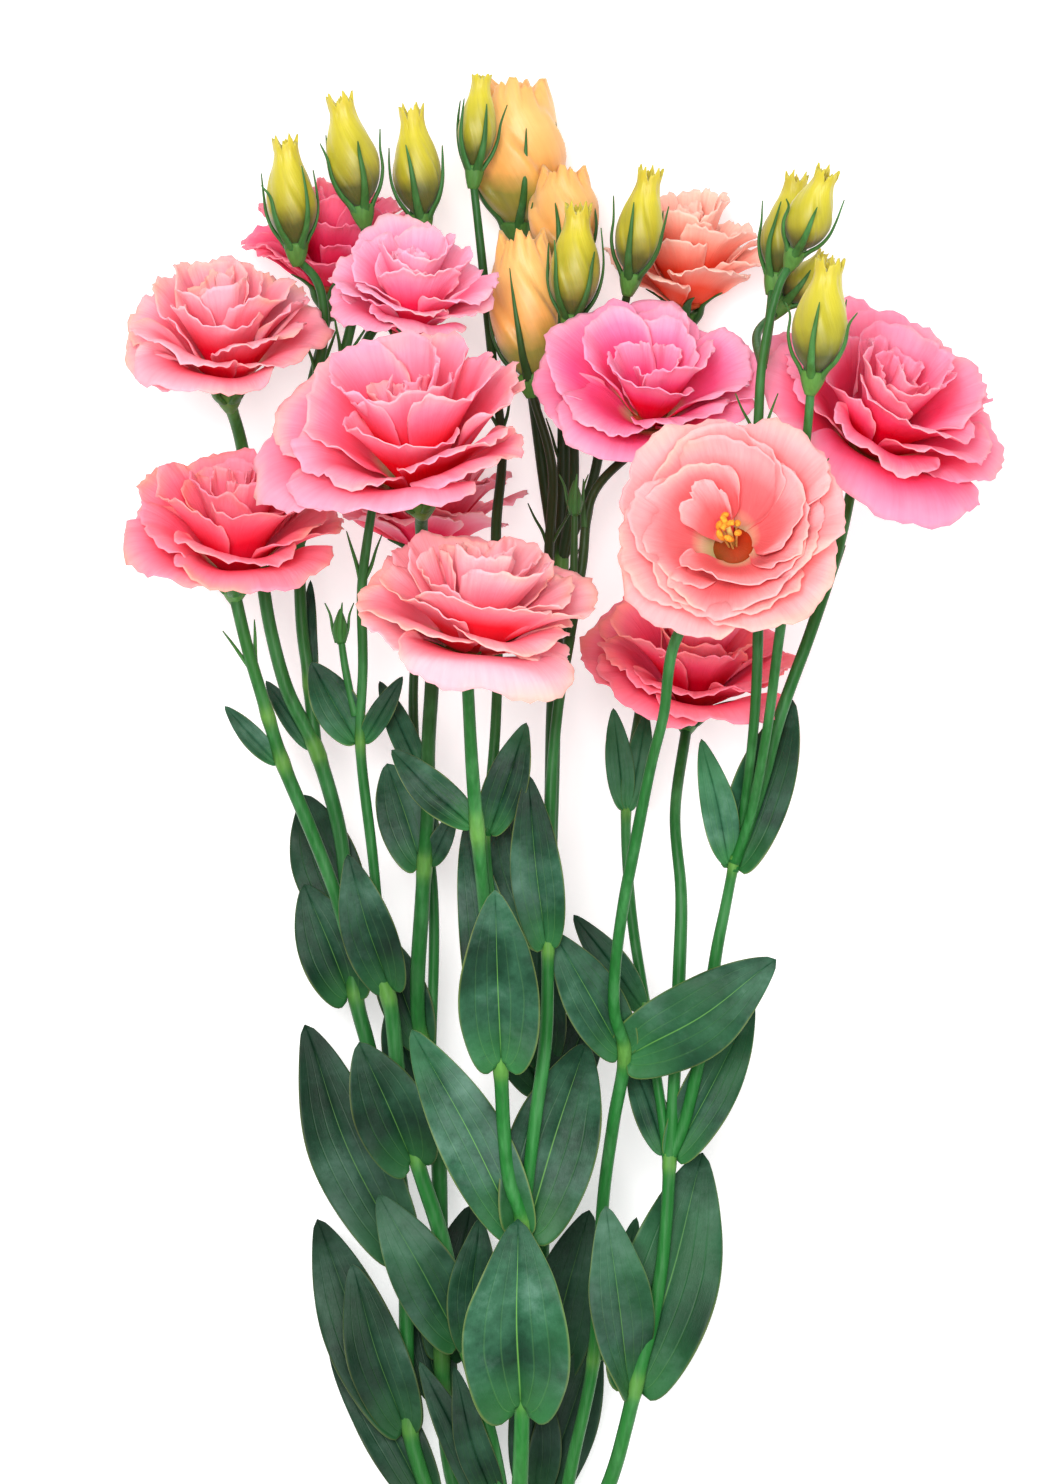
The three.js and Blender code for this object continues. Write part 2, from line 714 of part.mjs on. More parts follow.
        points: [
          [35.2, 81, 46], [38.5, 89, 47], [43.5, 111, 51], [47, 134, 55], [49, 144, 56],
          [51.5, 157, 58],
        ],
      },
      {
        radius: BRANCH_RADIUS,
        head: "bloom_9",
        points: [
          [51.2, 155, 57.7], [57.7, 174, 59], [62.7, 192, 59.5], [70.7, 214, 58.5],
          [77.5, 235, 56],
        ],
      },
      {
        radius: TWIG_RADIUS,
        head: "bud_9",
        points: [
          [51.2, 155, 57.7], [55.2, 167, 62], [59.2, 188, 69], [62.2, 211.5, 76], [66, 238, 86],
          [69, 264, 96],
        ],
      },
      {
        radius: TWIG_RADIUS,
        head: "bud_6",
        points: [
          [51, 153, 57.5], [53.2, 165, 58], [56.2, 192, 66], [57, 215, 71], [56.5, 240, 76],
          [57, 266.5, 80], [58, 281, 81.5], [62, 299, 82],
        ],
      },
      { radius: TWIG_RADIUS, head: "bud_7", points: [[58, 280, 81], [60, 292, 72]] },
      { radius: 1.2, head: "bud_8", points: [[58, 279, 81], [57, 288, 63]] },
    ],
    leaves: [
      { on: 0, y: 24, tip: [43.5, 82, 38], width: 25 },
      { on: 0, y: 23, tip: [19, 69, 58], width: 17, twist: -50 },
      { on: 0, y: 83, tip: [56.2, 120, 42], width: 14 },
      { on: 0, y: 82, tip: [25, 107, 38], width: 9 },
      { on: 1, y: 118, tip: [11, 142, 47], width: 9 },
      { on: 1, y: 168, tip: [21, 194, 34], width: 7 },
      { on: 1, y: 168, tip: [29.5, 193, 32], width: 7 },
      { on: 3, y: 155, tip: [43, 186, 62], width: 9 },
      { on: 3, y: 155, tip: [66, 196, 50], width: 16 },
    ],
  },
  stem_back: {
    seat: 240,
    routes: [
      {
        radius: TRUNK_RADIUS,
        head: "bloom_4",
        points: [
          [-20, 0, 10], [-22, 20, 13], [-24, 96, 26], [-28.2, 116, 31], [-27, 147.5, 40],
          [-25.7, 168, 46], [-25.5, 185, 52], [-24.5, 204.5, 60], [-25.5, 222, 69],
          [-27, 238, 85],
        ],
      },
      {
        radius: TWIG_RADIUS,
        head: "bloom_12",
        points: [
          [-25, 104, 28], [-24.5, 148, 29], [-29.2, 185.5, 27], [-29, 208, 25],
        ],
      },
    ],
    leaves: [
      { on: 0, y: 21, tip: [-30, 46, 9], width: 13 },
      { on: 0, y: 154, tip: [-36, 180, 37], width: 15 },
      { on: 0, y: 110, tip: [-38, 138, 27], width: 13 },
      { on: 0, y: 92, tip: [-36, 118, 18], width: 14 },
      { on: 0, y: 30, tip: [-15, 68, 12], width: 17 },
      { on: 0, y: 155, tip: [-18.7, 168, 46], width: 6 },
      { on: 0, y: 175, tip: [-38, 201, 37], width: 7 },
    ],
  },
  stem_back_middle: {
    seat: 300,
    routes: [
      {
        radius: TRUNK_RADIUS,
        head: "peach_bud_2",
        points: [
          [2.5, 0, 8], [3, 60, 13], [4.5, 135, 20], [5.5, 172, 23], [6, 195, 24],
          [7, 215, 24.5], [8, 234, 25], [8.5, 255, 25], [8.5, 285, 26],
        ],
      },
      {
        radius: BRANCH_RADIUS,
        head: "peach_bud_1",
        points: [
          [7.5, 228, 25], [4, 250, 21], [0, 280, 17],
        ],
      },
      { radius: TWIG_RADIUS, head: "bud_10", points: [[8, 231, 25], [11, 250, 33], [10.5, 275, 41]] },
      { radius: TWIG_RADIUS, head: "bud_5", points: [[8, 231, 25], [16, 252, 30], [20.5, 280, 36]] },
    ],
    leaves: [
      { on: 0, y: -6, tip: [-1, 28.5, 16], width: 14 },
      { on: 0, y: -5, tip: [17, 36, 14], width: 16 },
      { on: 0, y: 96, tip: [-12, 128, 24], width: 14 },
      { on: 0, y: 94, tip: [18, 124, 22], width: 14 },
      { on: 0, y: 104, tip: [2, 140, 40], width: 13 },
      { on: 0, y: 24, tip: [15, 67, 20], width: 18 },
    ],
  },
};

const HEADS = { ...BLOOMS, ...BUDS };
Object.keys(BLOOMS).forEach((name) => {
  BLOOMS[name].petals = BLOOM_PETALS[name] ?? FULL_BLOOM;
});

// Where a stem passes the band, and its cut end below it.
function seatedStart(seat, order) {
  const turn = seat === "middle" ? 0 : degrees(seat);
  const pitch = seat === "middle" ? 0 : BUNDLE_PITCH;
  const x = BAND.x + pitch * Math.cos(turn);
  const z = BAND_HEIGHT + pitch * Math.sin(turn);
  const straight = 24; // each way from the band's middle
  return [
    [x + 0.25 * pitch * Math.cos(turn), CUT_Y + 3 * (order % 3), z + 0.1 * pitch * Math.sin(turn)],
    [x, BAND.y - straight, z],
    [x, BAND.y, z],
    [x, BAND.y + straight, z],
  ];
}

function routePoints(stem, order, route) {
  const start = route === stem.routes[0] ? seatedStart(stem.seat, order) : [];
  if (!route.head) return [...start, ...route.points];
  const head = HEADS[route.head];
  const cup = footOf(head).addScaledVector(axisOf(head), -4);
  return [...start, ...route.points, cup.toArray()];
}

// An unopened bud, still small and green, at the end of a side shoot.
function shootTip(point) {
  const rings = [
    [0.7, -1],
    [2.1, 2],
    [1.6, 5],
    [0.4, 8],
  ].map(([r, h]) => circle(r, h, 5));
  return standing({ foot: point, axis: [0, 1, 0] }, ringed(rings));
}

function stemSolid(stem, order) {
  const routes = stem.routes.map((route) => routePoints(stem, order, route));
  const solids = routes.map((points, k) => tube(points, stem.routes[k].radius));
  for (const leaf of stem.leaves) {
    const surface = leafSurface({ ...leaf, foot: rootAt(routes[leaf.on], leaf.y) });
    solids.push(blade(surface, 2, leafRows(leaf), LEAF_THICKNESS));
  }
  for (const { head } of stem.routes.filter((route) => route.head)) {
    const green = BLOOMS[head] ? bloomCalyx(HEADS[head]) : budCalyx(HEADS[head]);
    solids.push(standing(HEADS[head], green));
  }
  for (const point of stem.tips ?? []) solids.push(shootTip(point));
  return joined(solids);
}

// The band is a flat-sided ring with one of its flats on the table.
function bandSolid() {
  const ring = (radius, y) => circle(radius, y, BAND.sides, Math.PI / BAND.sides);
  const outside = ringed([ring(BAND.outer, 0), ring(BAND.outer, BAND.width)]);
  const inside = ringed([ring(BAND.inner, -1), ring(BAND.inner, BAND.width + 1)]);
  const lying = new THREE.Matrix4().makeRotationX(Math.PI / 2);
  lying.setPosition(BAND.x, BAND.y + BAND.width / 2, BAND_HEIGHT);
  return outside.subtract(inside).transform(lying.toArray());
}

// The stamens of the open bloom: five filaments round a thicker pistil, on one disc.
function stamensSolid(bloom) {
  const base = CORE.at(-1)[1] * bloom.radius + CUP_GAP;
  const height = 15;
  const disc = ringed([circle(1.4, base, 6), circle(1.4, base + 1, 6)]);
  const pistil = ringed([
    circle(0.7, base + 0.5, 5),
    circle(0.7, base + height - 2, 5),
    circle(1.5, base + height, 5),
  ]);
  const filaments = Array.from({ length: 5 }, (_, k) => {
    const lean = new THREE.Matrix4().makeRotationY(0.09);
    lean.premultiply(new THREE.Matrix4().makeRotationZ(bloom.turn + ((k + 0.5) * 2 * Math.PI) / 5));
    return ringed([circle(0.5, base + 0.5, 3), circle(0.8, base + height, 3)]).transform(lean.toArray());
  });
  return joined([disc, pistil, ...filaments]);
}

// ---------------------------------------------------------------- assembly
function piece(name, solid, colour, roughness) {
  const material = new THREE.MeshStandardMaterial({ color: COLOURS[colour], roughness, metalness: 0 });
  const mesh = new THREE.Mesh(geometryOf(solid), material);
  mesh.name = name;
  return mesh;
}

const bunch = new THREE.Group();
Object.entries(STEMS).forEach(([name, stem], order) => {
  bunch.add(piece(name, stemSolid(stem, order), "green", 0.6));
});
for (const [name, bloom] of Object.entries(BLOOMS))
  bunch.add(piece(name, standing(bloom, bloomSolid(bloom)), bloom.colour, 0.7));
for (const [name, bud] of Object.entries(BUDS)) {
  const colour = name.startsWith("peach") ? "apricot" : "bud";
  bunch.add(piece(name, standing(bud, budSolid(bud)), colour, 0.65));
}
bunch.add(piece("stamens", standing(BLOOMS.bloom_8, stamensSolid(BLOOMS.bloom_8)), "anther", 0.8));
bunch.add(piece("band", bandSolid(), "raffia", 0.9));

const box = new THREE.Box3().setFromObject(bunch);
const middle = box.getCenter(new THREE.Vector3());
bunch.position.set(-middle.x, -middle.y, 0);

export default bunch;
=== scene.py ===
"""A bunch of cut lisianthus laid on a table: ruffled double blooms, twisted buds, waxy leaves.

Lengths in the tables are millimetres, x across the bunch, y from the cut ends towards the
blooms and z up from the table. placed() turns them into the frame's metres.
"""

import math

import bpy
import numpy as np
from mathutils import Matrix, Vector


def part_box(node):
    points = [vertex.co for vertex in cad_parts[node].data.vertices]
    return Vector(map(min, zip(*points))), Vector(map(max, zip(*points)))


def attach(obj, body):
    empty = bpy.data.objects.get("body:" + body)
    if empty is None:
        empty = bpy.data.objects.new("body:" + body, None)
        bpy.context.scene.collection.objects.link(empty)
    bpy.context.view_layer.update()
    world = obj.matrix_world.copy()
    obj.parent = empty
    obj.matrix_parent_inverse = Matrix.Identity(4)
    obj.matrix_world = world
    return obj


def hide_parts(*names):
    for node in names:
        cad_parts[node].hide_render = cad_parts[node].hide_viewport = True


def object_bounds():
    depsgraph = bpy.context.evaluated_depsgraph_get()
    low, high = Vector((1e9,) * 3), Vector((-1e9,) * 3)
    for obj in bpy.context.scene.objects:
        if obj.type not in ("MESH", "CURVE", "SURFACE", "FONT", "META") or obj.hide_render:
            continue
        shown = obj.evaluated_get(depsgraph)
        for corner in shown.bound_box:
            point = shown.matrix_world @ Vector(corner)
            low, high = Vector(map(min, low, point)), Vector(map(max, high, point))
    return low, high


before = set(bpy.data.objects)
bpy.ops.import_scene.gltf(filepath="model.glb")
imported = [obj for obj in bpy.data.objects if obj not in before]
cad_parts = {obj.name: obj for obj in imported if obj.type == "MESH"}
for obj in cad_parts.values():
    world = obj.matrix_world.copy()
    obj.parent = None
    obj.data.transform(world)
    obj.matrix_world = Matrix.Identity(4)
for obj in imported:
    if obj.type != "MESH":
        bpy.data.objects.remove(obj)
cad_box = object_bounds()

# ---------------- sizes and places
MM = 0.001
BAND_Y, BAND_X, BAND_OUTER, BAND_SIDES = -75, -3, 9.1, 12
BAND_HEIGHT = BAND_OUTER * math.cos(math.pi / BAND_SIDES)
BUNDLE_PITCH, BAND_STRAIGHT = 4.8, 24  # stem to stem in the band, and how far they run straight
CUT_Y = -115.9
TRUNK, BRANCH, TWIG = 1.98, 1.65, 1.3  # radii

band_middle = np.mean(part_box("band"), axis=0) / MM
SHIFT = (band_middle - (BAND_X, BAND_Y, 0)) * (1, 1, 0)

# name: middle of the rim, way that it looks, radius, height of the rim, turn
BLOOMS = {
    "bloom_1": ((-78.3, 295.1, 62), (-0.1, 0.87, 0.48), 22.8, 24, 0.3),
    "bloom_2": ((-50.8, 318.2, 23.4), (0, 0.98, 0.17), 20.3, 20, 1.1),
    "bloom_3": ((-29.5, 304, 66), (0.03, 0.92, 0.4), 19.4, 19, 0.6),
    "bloom_4": ((-31.8, 269.5, 111.5), (-0.16, 0.85, 0.5), 30.5, 27, 0.2),
    "bloom_5": ((-74.1, 246, 70), (0, 0.87, 0.5), 24.8, 23, 0.9),
    "bloom_6": ((-13.3, 224.2, 112), (0.1, 0.93, 0.36), 27.5, 19, 0),
    "bloom_7": ((30, 280.5, 69), (0, 0.74, 0.67), 25, 21, 0.5),
    "bloom_8": ((48, 241, 118), (-0.14, 0.4, 0.9), 26.6, 21, 2.1),
    "bloom_9": ((92, 275.6, 64), (0.36, 0.76, 0.54), 30, 24, 0.4),
    "bloom_10": ((39.5, 314.6, 22.07), (0, 0.97, 0.25), 19, 21, 0.8),
    "bloom_11": ((41.7, 212.2, 45), (0.08, 0.86, 0.5), 24.7, 22, 0.7),
    "bloom_12": ((-26, 251, 23.5), (0, 0.99, 0.12), 22, 19, 0.1),
}
# name: foot in its green cup, way that it looks, length, radius, turn
BUDS = {
    "bud_1": ((-59, 311, 47), (-0.1, 1, 0.1), 26.5, 6.3, 0.4),
    "bud_2": ((-42.5, 320.5, 46), (-0.2, 1, 0.05), 28, 6.6, 0.2),
    "bud_3": ((-27.5, 318.5, 40), (-0.09, 1, 0.05), 27, 6.1, 0.9),
    "bud_4": ((-14, 331, 33), (0.08, 1, 0.03), 23.5, 4.8, 0),
    "bud_5": ((25.5, 303.5, 48), (0.19, 1, 0.15), 26.5, 6, 0.5),
    "bud_6": ((66.5, 308.5, 82), (0.4, 1, 0.3), 21.5, 5.8, 0.7),
    "bud_7": ((61.5, 303, 66), (0.22, 1, 0), 25, 5.6, 0.1),
    "bud_8": ((64.5, 296.5, 54), (0.7, 0.8, 0), 15, 4.5, 0.3),
    "bud_9": ((70.3, 277.5, 99), (0.15, 1, 0.1), 28, 7, 0.6),
    "bud_10": ((10.5, 293, 50.5), (0.06, 1, 0.08), 27.5, 6.4, 0.2),
    "peach_bud_1": ((-3.5, 317, 17), (0, 1, 0), 36, 10.8, 1.13),
    "peach_bud_2": ((8.5, 305.5, 27), (0, 1, 0), 25, 8, 0.83),
    "peach_bud_3": ((0, 278, 42), (-0.06, 1, 0), 35.5, 8.3, 0.8),
}
# Each stem: its seat in the band, an angle round it or None for its middle; its routes,
# each a radius, the head that it runs on to, and its points; its leaves, each the route
# that it grows from, the y of its foot, its tip and its width, and some how far it bows and
# how many degrees its foot is turned. The first route is the trunk.
STEMS = {
    "stem_left": (180, [
        (TRUNK, "bloom_1", [(-27.5, 0, 15), (-30.5, 12, 16), (-32.5, 71, 22), (-40.7, 108, 27),
            (-44.2, 122, 28), (-47.7, 161, 31), (-52.7, 180, 33), (-54.5, 185, 33.5),
            (-61, 198, 35), (-65.2, 213, 36), (-67.2, 224.5, 37), (-70, 245, 34.5),
            (-73, 262, 41)]),
        (BRANCH, None, [(-54, 183, 33.5), (-56.2, 204.5, 32), (-57.5, 214, 31), (-58.2, 229.5, 31),
            (-58, 250, 33)]),
        (TWIG, "bud_1", [(-58, 248, 33), (-54, 275, 40), (-51.8, 292, 42.5), (-53.6, 301.5, 44)]),
        (TWIG, "bud_2", [(-58, 248, 33), (-49, 275, 40), (-43, 300, 43.5), (-41.5, 311, 45)]),
        (TWIG, "bloom_2", [(-58, 248, 33), (-56, 272, 27)]),
        (TWIG, "bud_3", [(-50, 271, 39.5), (-38, 292, 38.5), (-28, 308, 38.5)]),
    ], [
        (0, 13, (-54, 64.5, 12), 19), (0, 12, (-45, 53.5, 24), 16), (0, -7, (-51, 34.5, 8), 15),
        (0, 56, (-57, 114, 20), 21), (0, 122, (-57, 149.5, 30), 17), (0, 141, (-57, 172, 22), 17),
        (0, 184, (-66.7, 201, 30), 6), (1, 200, (-55.5, 226, 24), 5)
    ]),
    "stem_left_front": (None, [
        (TRUNK, "bloom_5", [(-8.2, 0, 23), (-16.7, 35, 28), (-22.5, 61, 32), (-28.7, 80.5, 35),
            (-33, 101, 38), (-36.5, 123.5, 41), (-43.7, 132, 42.5), (-49.5, 149, 45),
            (-56, 165.5, 48), (-62.2, 180.5, 50.5), (-67, 196, 53), (-71, 209.5, 55.5)]),
        (TWIG, "bloom_3", [(-36.3, 122, 41), (-39.5, 156, 44), (-42.7, 185.5, 47), (-42, 204.5, 50),
            (-42.2, 224, 53), (-41, 235, 55), (-38, 252, 57)]),
        (1, None, [(-44, 192, 48), (-46.5, 204.5, 48.5), (-47.7, 213, 49)]),
    ], [
        (0, 35, (-38, 71, 36), 17), (0, 33, (-12.7, 65, 38), 13), (0, -12, (-28, 29, 26), 10),
        (0, -10, (-19, 27, 31), 9), (0, 81, (-43, 110, 45), 20), (0, 123.5, (-45.7, 157, 53), 14),
        (0, 180.5, (-76.7, 194.5, 50), 6), (1, 185.5, (-55, 205.5, 45), 12),
        (1, 185.5, (-32, 202, 50), 6)
    ]),
    "stem_front": (120, [
        (TRUNK, "bloom_6", [(-2.5, 0, 39), (-2, 19, 45), (-2, 65.5, 58), (-5, 75, 61.5),
            (-6.5, 88, 65), (-7.5, 106, 70), (-11.5, 146.5, 82), (-14.2, 176.5, 92.5)]),
        (BRANCH, None, [(-2, 63, 57.5), (1.2, 90, 61), (4, 112, 63), (4.5, 135, 65), (5.2, 172, 66),
            (7, 194, 65), (10, 212, 63)]),
        (TWIG, "bloom_7", [(9.8, 211, 63), (13, 229.5, 60), (16, 248, 57)]),
        (TWIG, "peach_bud_3", [(9.8, 211, 63), (5, 228, 54), (5.5, 255, 43)]),
        (TWIG, None, [(-7, 104, 69.5), (-6.2, 135, 71), (-9.7, 147.5, 72), (-11.2, 164, 72)]),
        (TWIG, "bud_4", [(-11, 162, 72), (-8.7, 188, 70), (-8, 215, 66), (-8.5, 239, 60),
            (-7, 258, 54), (-9.5, 282, 42), (-12.2, 308, 34)]),
        (1, None, [(11, 216, 62.5), (11, 230, 64), (11.2, 245, 66)]),
    ], [
        (0, 20, (-3, 65, 66), 28, 0.1), (0, 64, (-29.7, 113.7, 62), 18), (0, 64, (14, 110, 51), 23),
        (0, 106, (-8.7, 148.5, 96), 21, 0.04), (0, 106, (-16, 165, 66), 14),
        (0, 165.5, (-34.5, 183.5, 82), 10), (4, 163, (-1, 190, 76), 11),
        (1, 135, (-0.5, 177, 78), 13), (1, 134, (-8, 176, 53), 15)
    ]),
    "stem_middle": (0, [
        (BRANCH, "bloom_8", [(10, 0, 28), (16, 29.5, 34), (18.5, 71, 42), (21, 90, 48),
            (23.7, 108, 56), (21.2, 117.5, 62), (21.2, 127.5, 66), (23.2, 144, 73), (26.2, 160, 79),
            (30.2, 180, 85), (33.2, 192, 88.5), (36.5, 211.5, 93)]),
    ], [
        (0, 30, (27, 65.5, 29), 9), (0, 108, (6, 137.7, 62), 15), (0, 107, (61.5, 131, 66), 20)
    ]),
    "stem_right": (60, [
        (TRUNK, None, [(20.5, 0, 36), (24, 12.5, 39.5), (27.5, 27.5, 42.5), (31, 41, 44),
            (33.3, 55, 45), (34.6, 70, 45.8), (35.2, 83, 46)]),
        (TWIG, "bloom_10", [(34.6, 80, 46), (33.7, 88.5, 46), (29.2, 118.5, 45), (26.2, 137, 43),
            (24.7, 152, 40), (24.2, 167, 36), (25.7, 181, 30), (28, 195, 21), (30, 208, 15),
            (31, 222, 12.5), (34, 250, 15), (38, 278, 19)]),
        (BRANCH, "bloom_11", [(35, 80, 46), (35.7, 90, 47), (37.5, 127.5, 49), (38, 147, 48.5),
            (36.5, 167, 45)]),
        (BRANCH, None, [(35.2, 81, 46), (38.5, 89, 47), (43.5, 111, 51), (47, 134, 55),
            (49, 144, 56), (51.5, 157, 58)]),
        (BRANCH, "bloom_9", [(51.2, 155, 57.7), (57.7, 174, 59), (62.7, 192, 59.5),
            (70.7, 214, 58.5), (77.5, 235, 56)]),
        (TWIG, "bud_9", [(51.2, 155, 57.7), (55.2, 167, 62), (59.2, 188, 69), (62.2, 211.5, 76),
            (66, 238, 86), (69, 264, 96)]),
        (TWIG, "bud_6", [(51, 153, 57.5), (53.2, 165, 58), (56.2, 192, 66), (57, 215, 71),
            (56.5, 240, 76), (57, 266.5, 80), (58, 281, 81.5), (62, 299, 82)]),
        (TWIG, "bud_7", [(58, 280, 81), (60, 292, 72)]),
        (1.2, "bud_8", [(58, 279, 81), (57, 288, 63)]),
    ], [
        (0, 24, (43.5, 82, 38), 25), (0, 23, (19, 69, 58), 17, 0.06, -50),
        (0, 83, (56.2, 120, 42), 14), (0, 82, (25, 107, 38), 9), (1, 118, (11, 142, 47), 9),
        (1, 168, (21, 194, 34), 7), (1, 168, (29.5, 193, 32), 7), (3, 155, (43, 186, 62), 9),
        (3, 155, (66, 196, 50), 16)
    ]),
    "stem_back": (240, [
        (TRUNK, "bloom_4", [(-20, 0, 10), (-22, 20, 13), (-24, 96, 26), (-28.2, 116, 31),
            (-27, 147.5, 40), (-25.7, 168, 46), (-25.5, 185, 52), (-24.5, 204.5, 60),
            (-25.5, 222, 69), (-27, 238, 85)]),
        (TWIG, "bloom_12", [(-25, 104, 28), (-24.5, 148, 29), (-29.2, 185.5, 27), (-29, 208, 25)]),
    ], [
        (0, 21, (-30, 46, 9), 13), (0, 154, (-36, 180, 37), 15), (0, 110, (-38, 138, 27), 13),
        (0, 92, (-36, 118, 18), 14), (0, 30, (-15, 68, 12), 17), (0, 155, (-18.7, 168, 46), 6),
        (0, 175, (-38, 201, 37), 7)
    ]),
    "stem_back_middle": (300, [
        (TRUNK, "peach_bud_2", [(2.5, 0, 8), (3, 60, 13), (4.5, 135, 20), (5.5, 172, 23),
            (6, 195, 24), (7, 215, 24.5), (8, 234, 25), (8.5, 255, 25), (8.5, 285, 26)]),
        (BRANCH, "peach_bud_1", [(7.5, 228, 25), (4, 250, 21), (0, 280, 17)]),
        (TWIG, "bud_10", [(8, 231, 25), (11, 250, 33), (10.5, 275, 41)]),
        (TWIG, "bud_5", [(8, 231, 25), (16, 252, 30), (20.5, 280, 36)]),
    ], [
        (0, -6, (-1, 28.5, 16), 14), (0, -5, (17, 36, 14), 16), (0, 96, (-12, 128, 24), 14),
        (0, 94, (18, 124, 22), 14), (0, 104, (2, 140, 40), 13), (0, 24, (15, 67, 20), 18)
    ]),
}
# The tips of two side shoots, small green buds of leaf.
SHOOT_TIPS = {"stem_left_front": (-47.7, 211, 49), "stem_front": (11.2, 243, 66)}

# Where pairs of small slips sit: the route, and how far up.
SLIPS = {
    "stem_left": [(2, 280), (3, 284), (5, 290), (1, 236)],
    "stem_left_front": [(1, 228), (0, 205)],
    "stem_front": [(2, 240), (3, 236), (5, 226), (5, 266)],
    "stem_right": [(4, 226), (5, 246), (6, 262), (1, 232)],
    "stem_back": [(0, 214), (1, 214)],
    "stem_back_middle": [(0, 226), (0, 258), (2, 262), (3, 268)],
}

# ---------------- surfaces
class Heap:
    """The points, faces and face corners' grid places of the surfaces that make one piece."""

    def __init__(self):
        self.points, self.faces, self.grid, self.tone, self.back = [], [], [], [], []
        self.count = 0

    def add(self, points, faces, grid, tone=0.5, back=None):
        """Adds one closed surface. Its volume, a sum of corner products over its faces, is
        negative when it is inside out, and then each face's corners are taken backwards."""
        volume = 0.0
        for ring in faces:
            corner = points[ring]
            for k in range(1, ring.shape[1] - 1):
                volume += (corner[:, 0] * np.cross(corner[:, k], corner[:, k + 1])).sum()
        if volume < 0:
            faces = [ring[:, ::-1] for ring in faces]
            grid = [place[:, ::-1] for place in grid]
        self.points.append(points)
        self.faces += [ring + self.count for ring in faces]
        self.grid += grid
        self.tone.append(np.zeros(len(points)) + tone)
        self.back.append(np.zeros(len(points)) if back is None else back)
        self.count += len(points)


def placed(points):
    """Millimetres of the tables as metres of the frame: shifted, then scaled."""
    return (points + SHIFT) * MM


def within(points):
    """Petals bend back where they would leave the bunch's box: an excess e past a line a
    little inside it becomes margin (1 - exp(-e / margin))."""
    margin, spare = 1.5, 0.3
    low, high = (np.array(corner) / MM - SHIFT for corner in cad_box)
    low, high = low + spare * (low < 0), high - spare
    over = np.maximum(points - (high - margin), 0)
    under = np.maximum((low + margin) - points, 0)
    back = margin * (1 - np.exp(-over / margin)) - over
    return points + back - (margin * (1 - np.exp(-under / margin)) - under)


def piece(name, heap, finish, slot, *nodes):
    """One object from a heap. It rides on the bunch and stands for the given CAD nodes."""
    mesh = bpy.data.meshes.new(name)
    points = placed(np.concatenate(heap.points))
    sizes = np.concatenate([np.full(len(ring), ring.shape[1]) for ring in heap.faces])
    corners = np.concatenate([ring.ravel() for ring in heap.faces])
    mesh.vertices.add(len(points))
    mesh.vertices.foreach_set("co", points.astype(np.float32).ravel())
    mesh.loops.add(len(corners))
    mesh.loops.foreach_set("vertex_index", corners.astype(np.int32))
    mesh.polygons.add(len(sizes))
    mesh.polygons.foreach_set("loop_start", (np.cumsum(sizes) - sizes).astype(np.int32))
    mesh.polygons.foreach_set("loop_total", sizes.astype(np.int32))
    mesh.polygons.foreach_set("use_smooth", np.ones(len(sizes), bool))
    mesh.update(calc_edges=True)
    grid = np.concatenate([place.reshape(-1, 2) for place in heap.grid])
    mesh.uv_layers.new(name="grid").data.foreach_set("uv", grid.astype(np.float32).ravel())
    for label, values in (("tone", heap.tone), ("back", heap.back)):
        store = mesh.attributes.new(label, "FLOAT", "POINT")
        store.data.foreach_set("value", np.concatenate(values).astype(np.float32))
    mesh.materials.append(finish)
    made = bpy.data.objects.new(name, mesh)
    bpy.context.scene.collection.objects.link(made)
    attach(made, "root")
    if nodes:
        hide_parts(*nodes)


def net(rows, columns, wrapped=False):
    """Quads over a grid of points, row by row, and the grid place of each of their corners.
    A wrapped net's last column of faces joins back on to its first column of points."""
    across = columns if wrapped else columns - 1
    j, i = np.mgrid[0:rows - 1, 0:across]
    steps = ((0, 0), (0, 1), (1, 1), (1, 0))
    ring = [(j + up) * columns + (i + on) % columns for up, on in steps]
    place = [((i + on) / across, (j + up) / (rows - 1)) for up, on in steps]
    faces = np.stack(ring, -1).reshape(-1, 4)
    grid = np.stack([np.stack(pair, -1) for pair in place], -2).reshape(-1, 4, 2)
    return faces, grid


def leafy(heap, middle, thickness, tone):
    """A thin shell round a grid of middle points. Its two faces stand half the thickness
    each way along the normal, the cross product of the grid's two slopes, and a strip
    round the margin closes it."""
    rows, columns = middle.shape[:2]
    normal = np.cross(np.gradient(middle, axis=1), np.gradient(middle, axis=0))
    normal /= np.linalg.norm(normal, axis=-1, keepdims=True) + 1e-12
    half = (thickness / 2) * np.ones((rows, columns))
    half[:, [0, -1]] *= 0.5
    half[[-1], :] *= 0.5
    step = normal * half[..., None]
    points = np.concatenate([(middle + step).reshape(-1, 3), (middle - step).reshape(-1, 3)])
    faces, grid = net(rows, columns)
    under = rows * columns
    index = np.arange(under).reshape(rows, columns)
    margin = np.concatenate([index[0, :-1], index[:-1, -1], index[-1, :0:-1], index[:0:-1, 0]])
    after = np.roll(margin, -1)
    strip = np.stack([after, margin, margin + under, after + under], -1)
    spot = np.stack([(index % columns) / (columns - 1), (index // columns) / (rows - 1)], -1)
    spot = np.tile(spot.reshape(-1, 2), (2, 1))
    back = np.repeat([0.0, 1.0], under)
    heap.add(points, [faces, faces[:, ::-1] + under, strip],
             [grid, grid[:, ::-1], spot[strip]], tone, back)


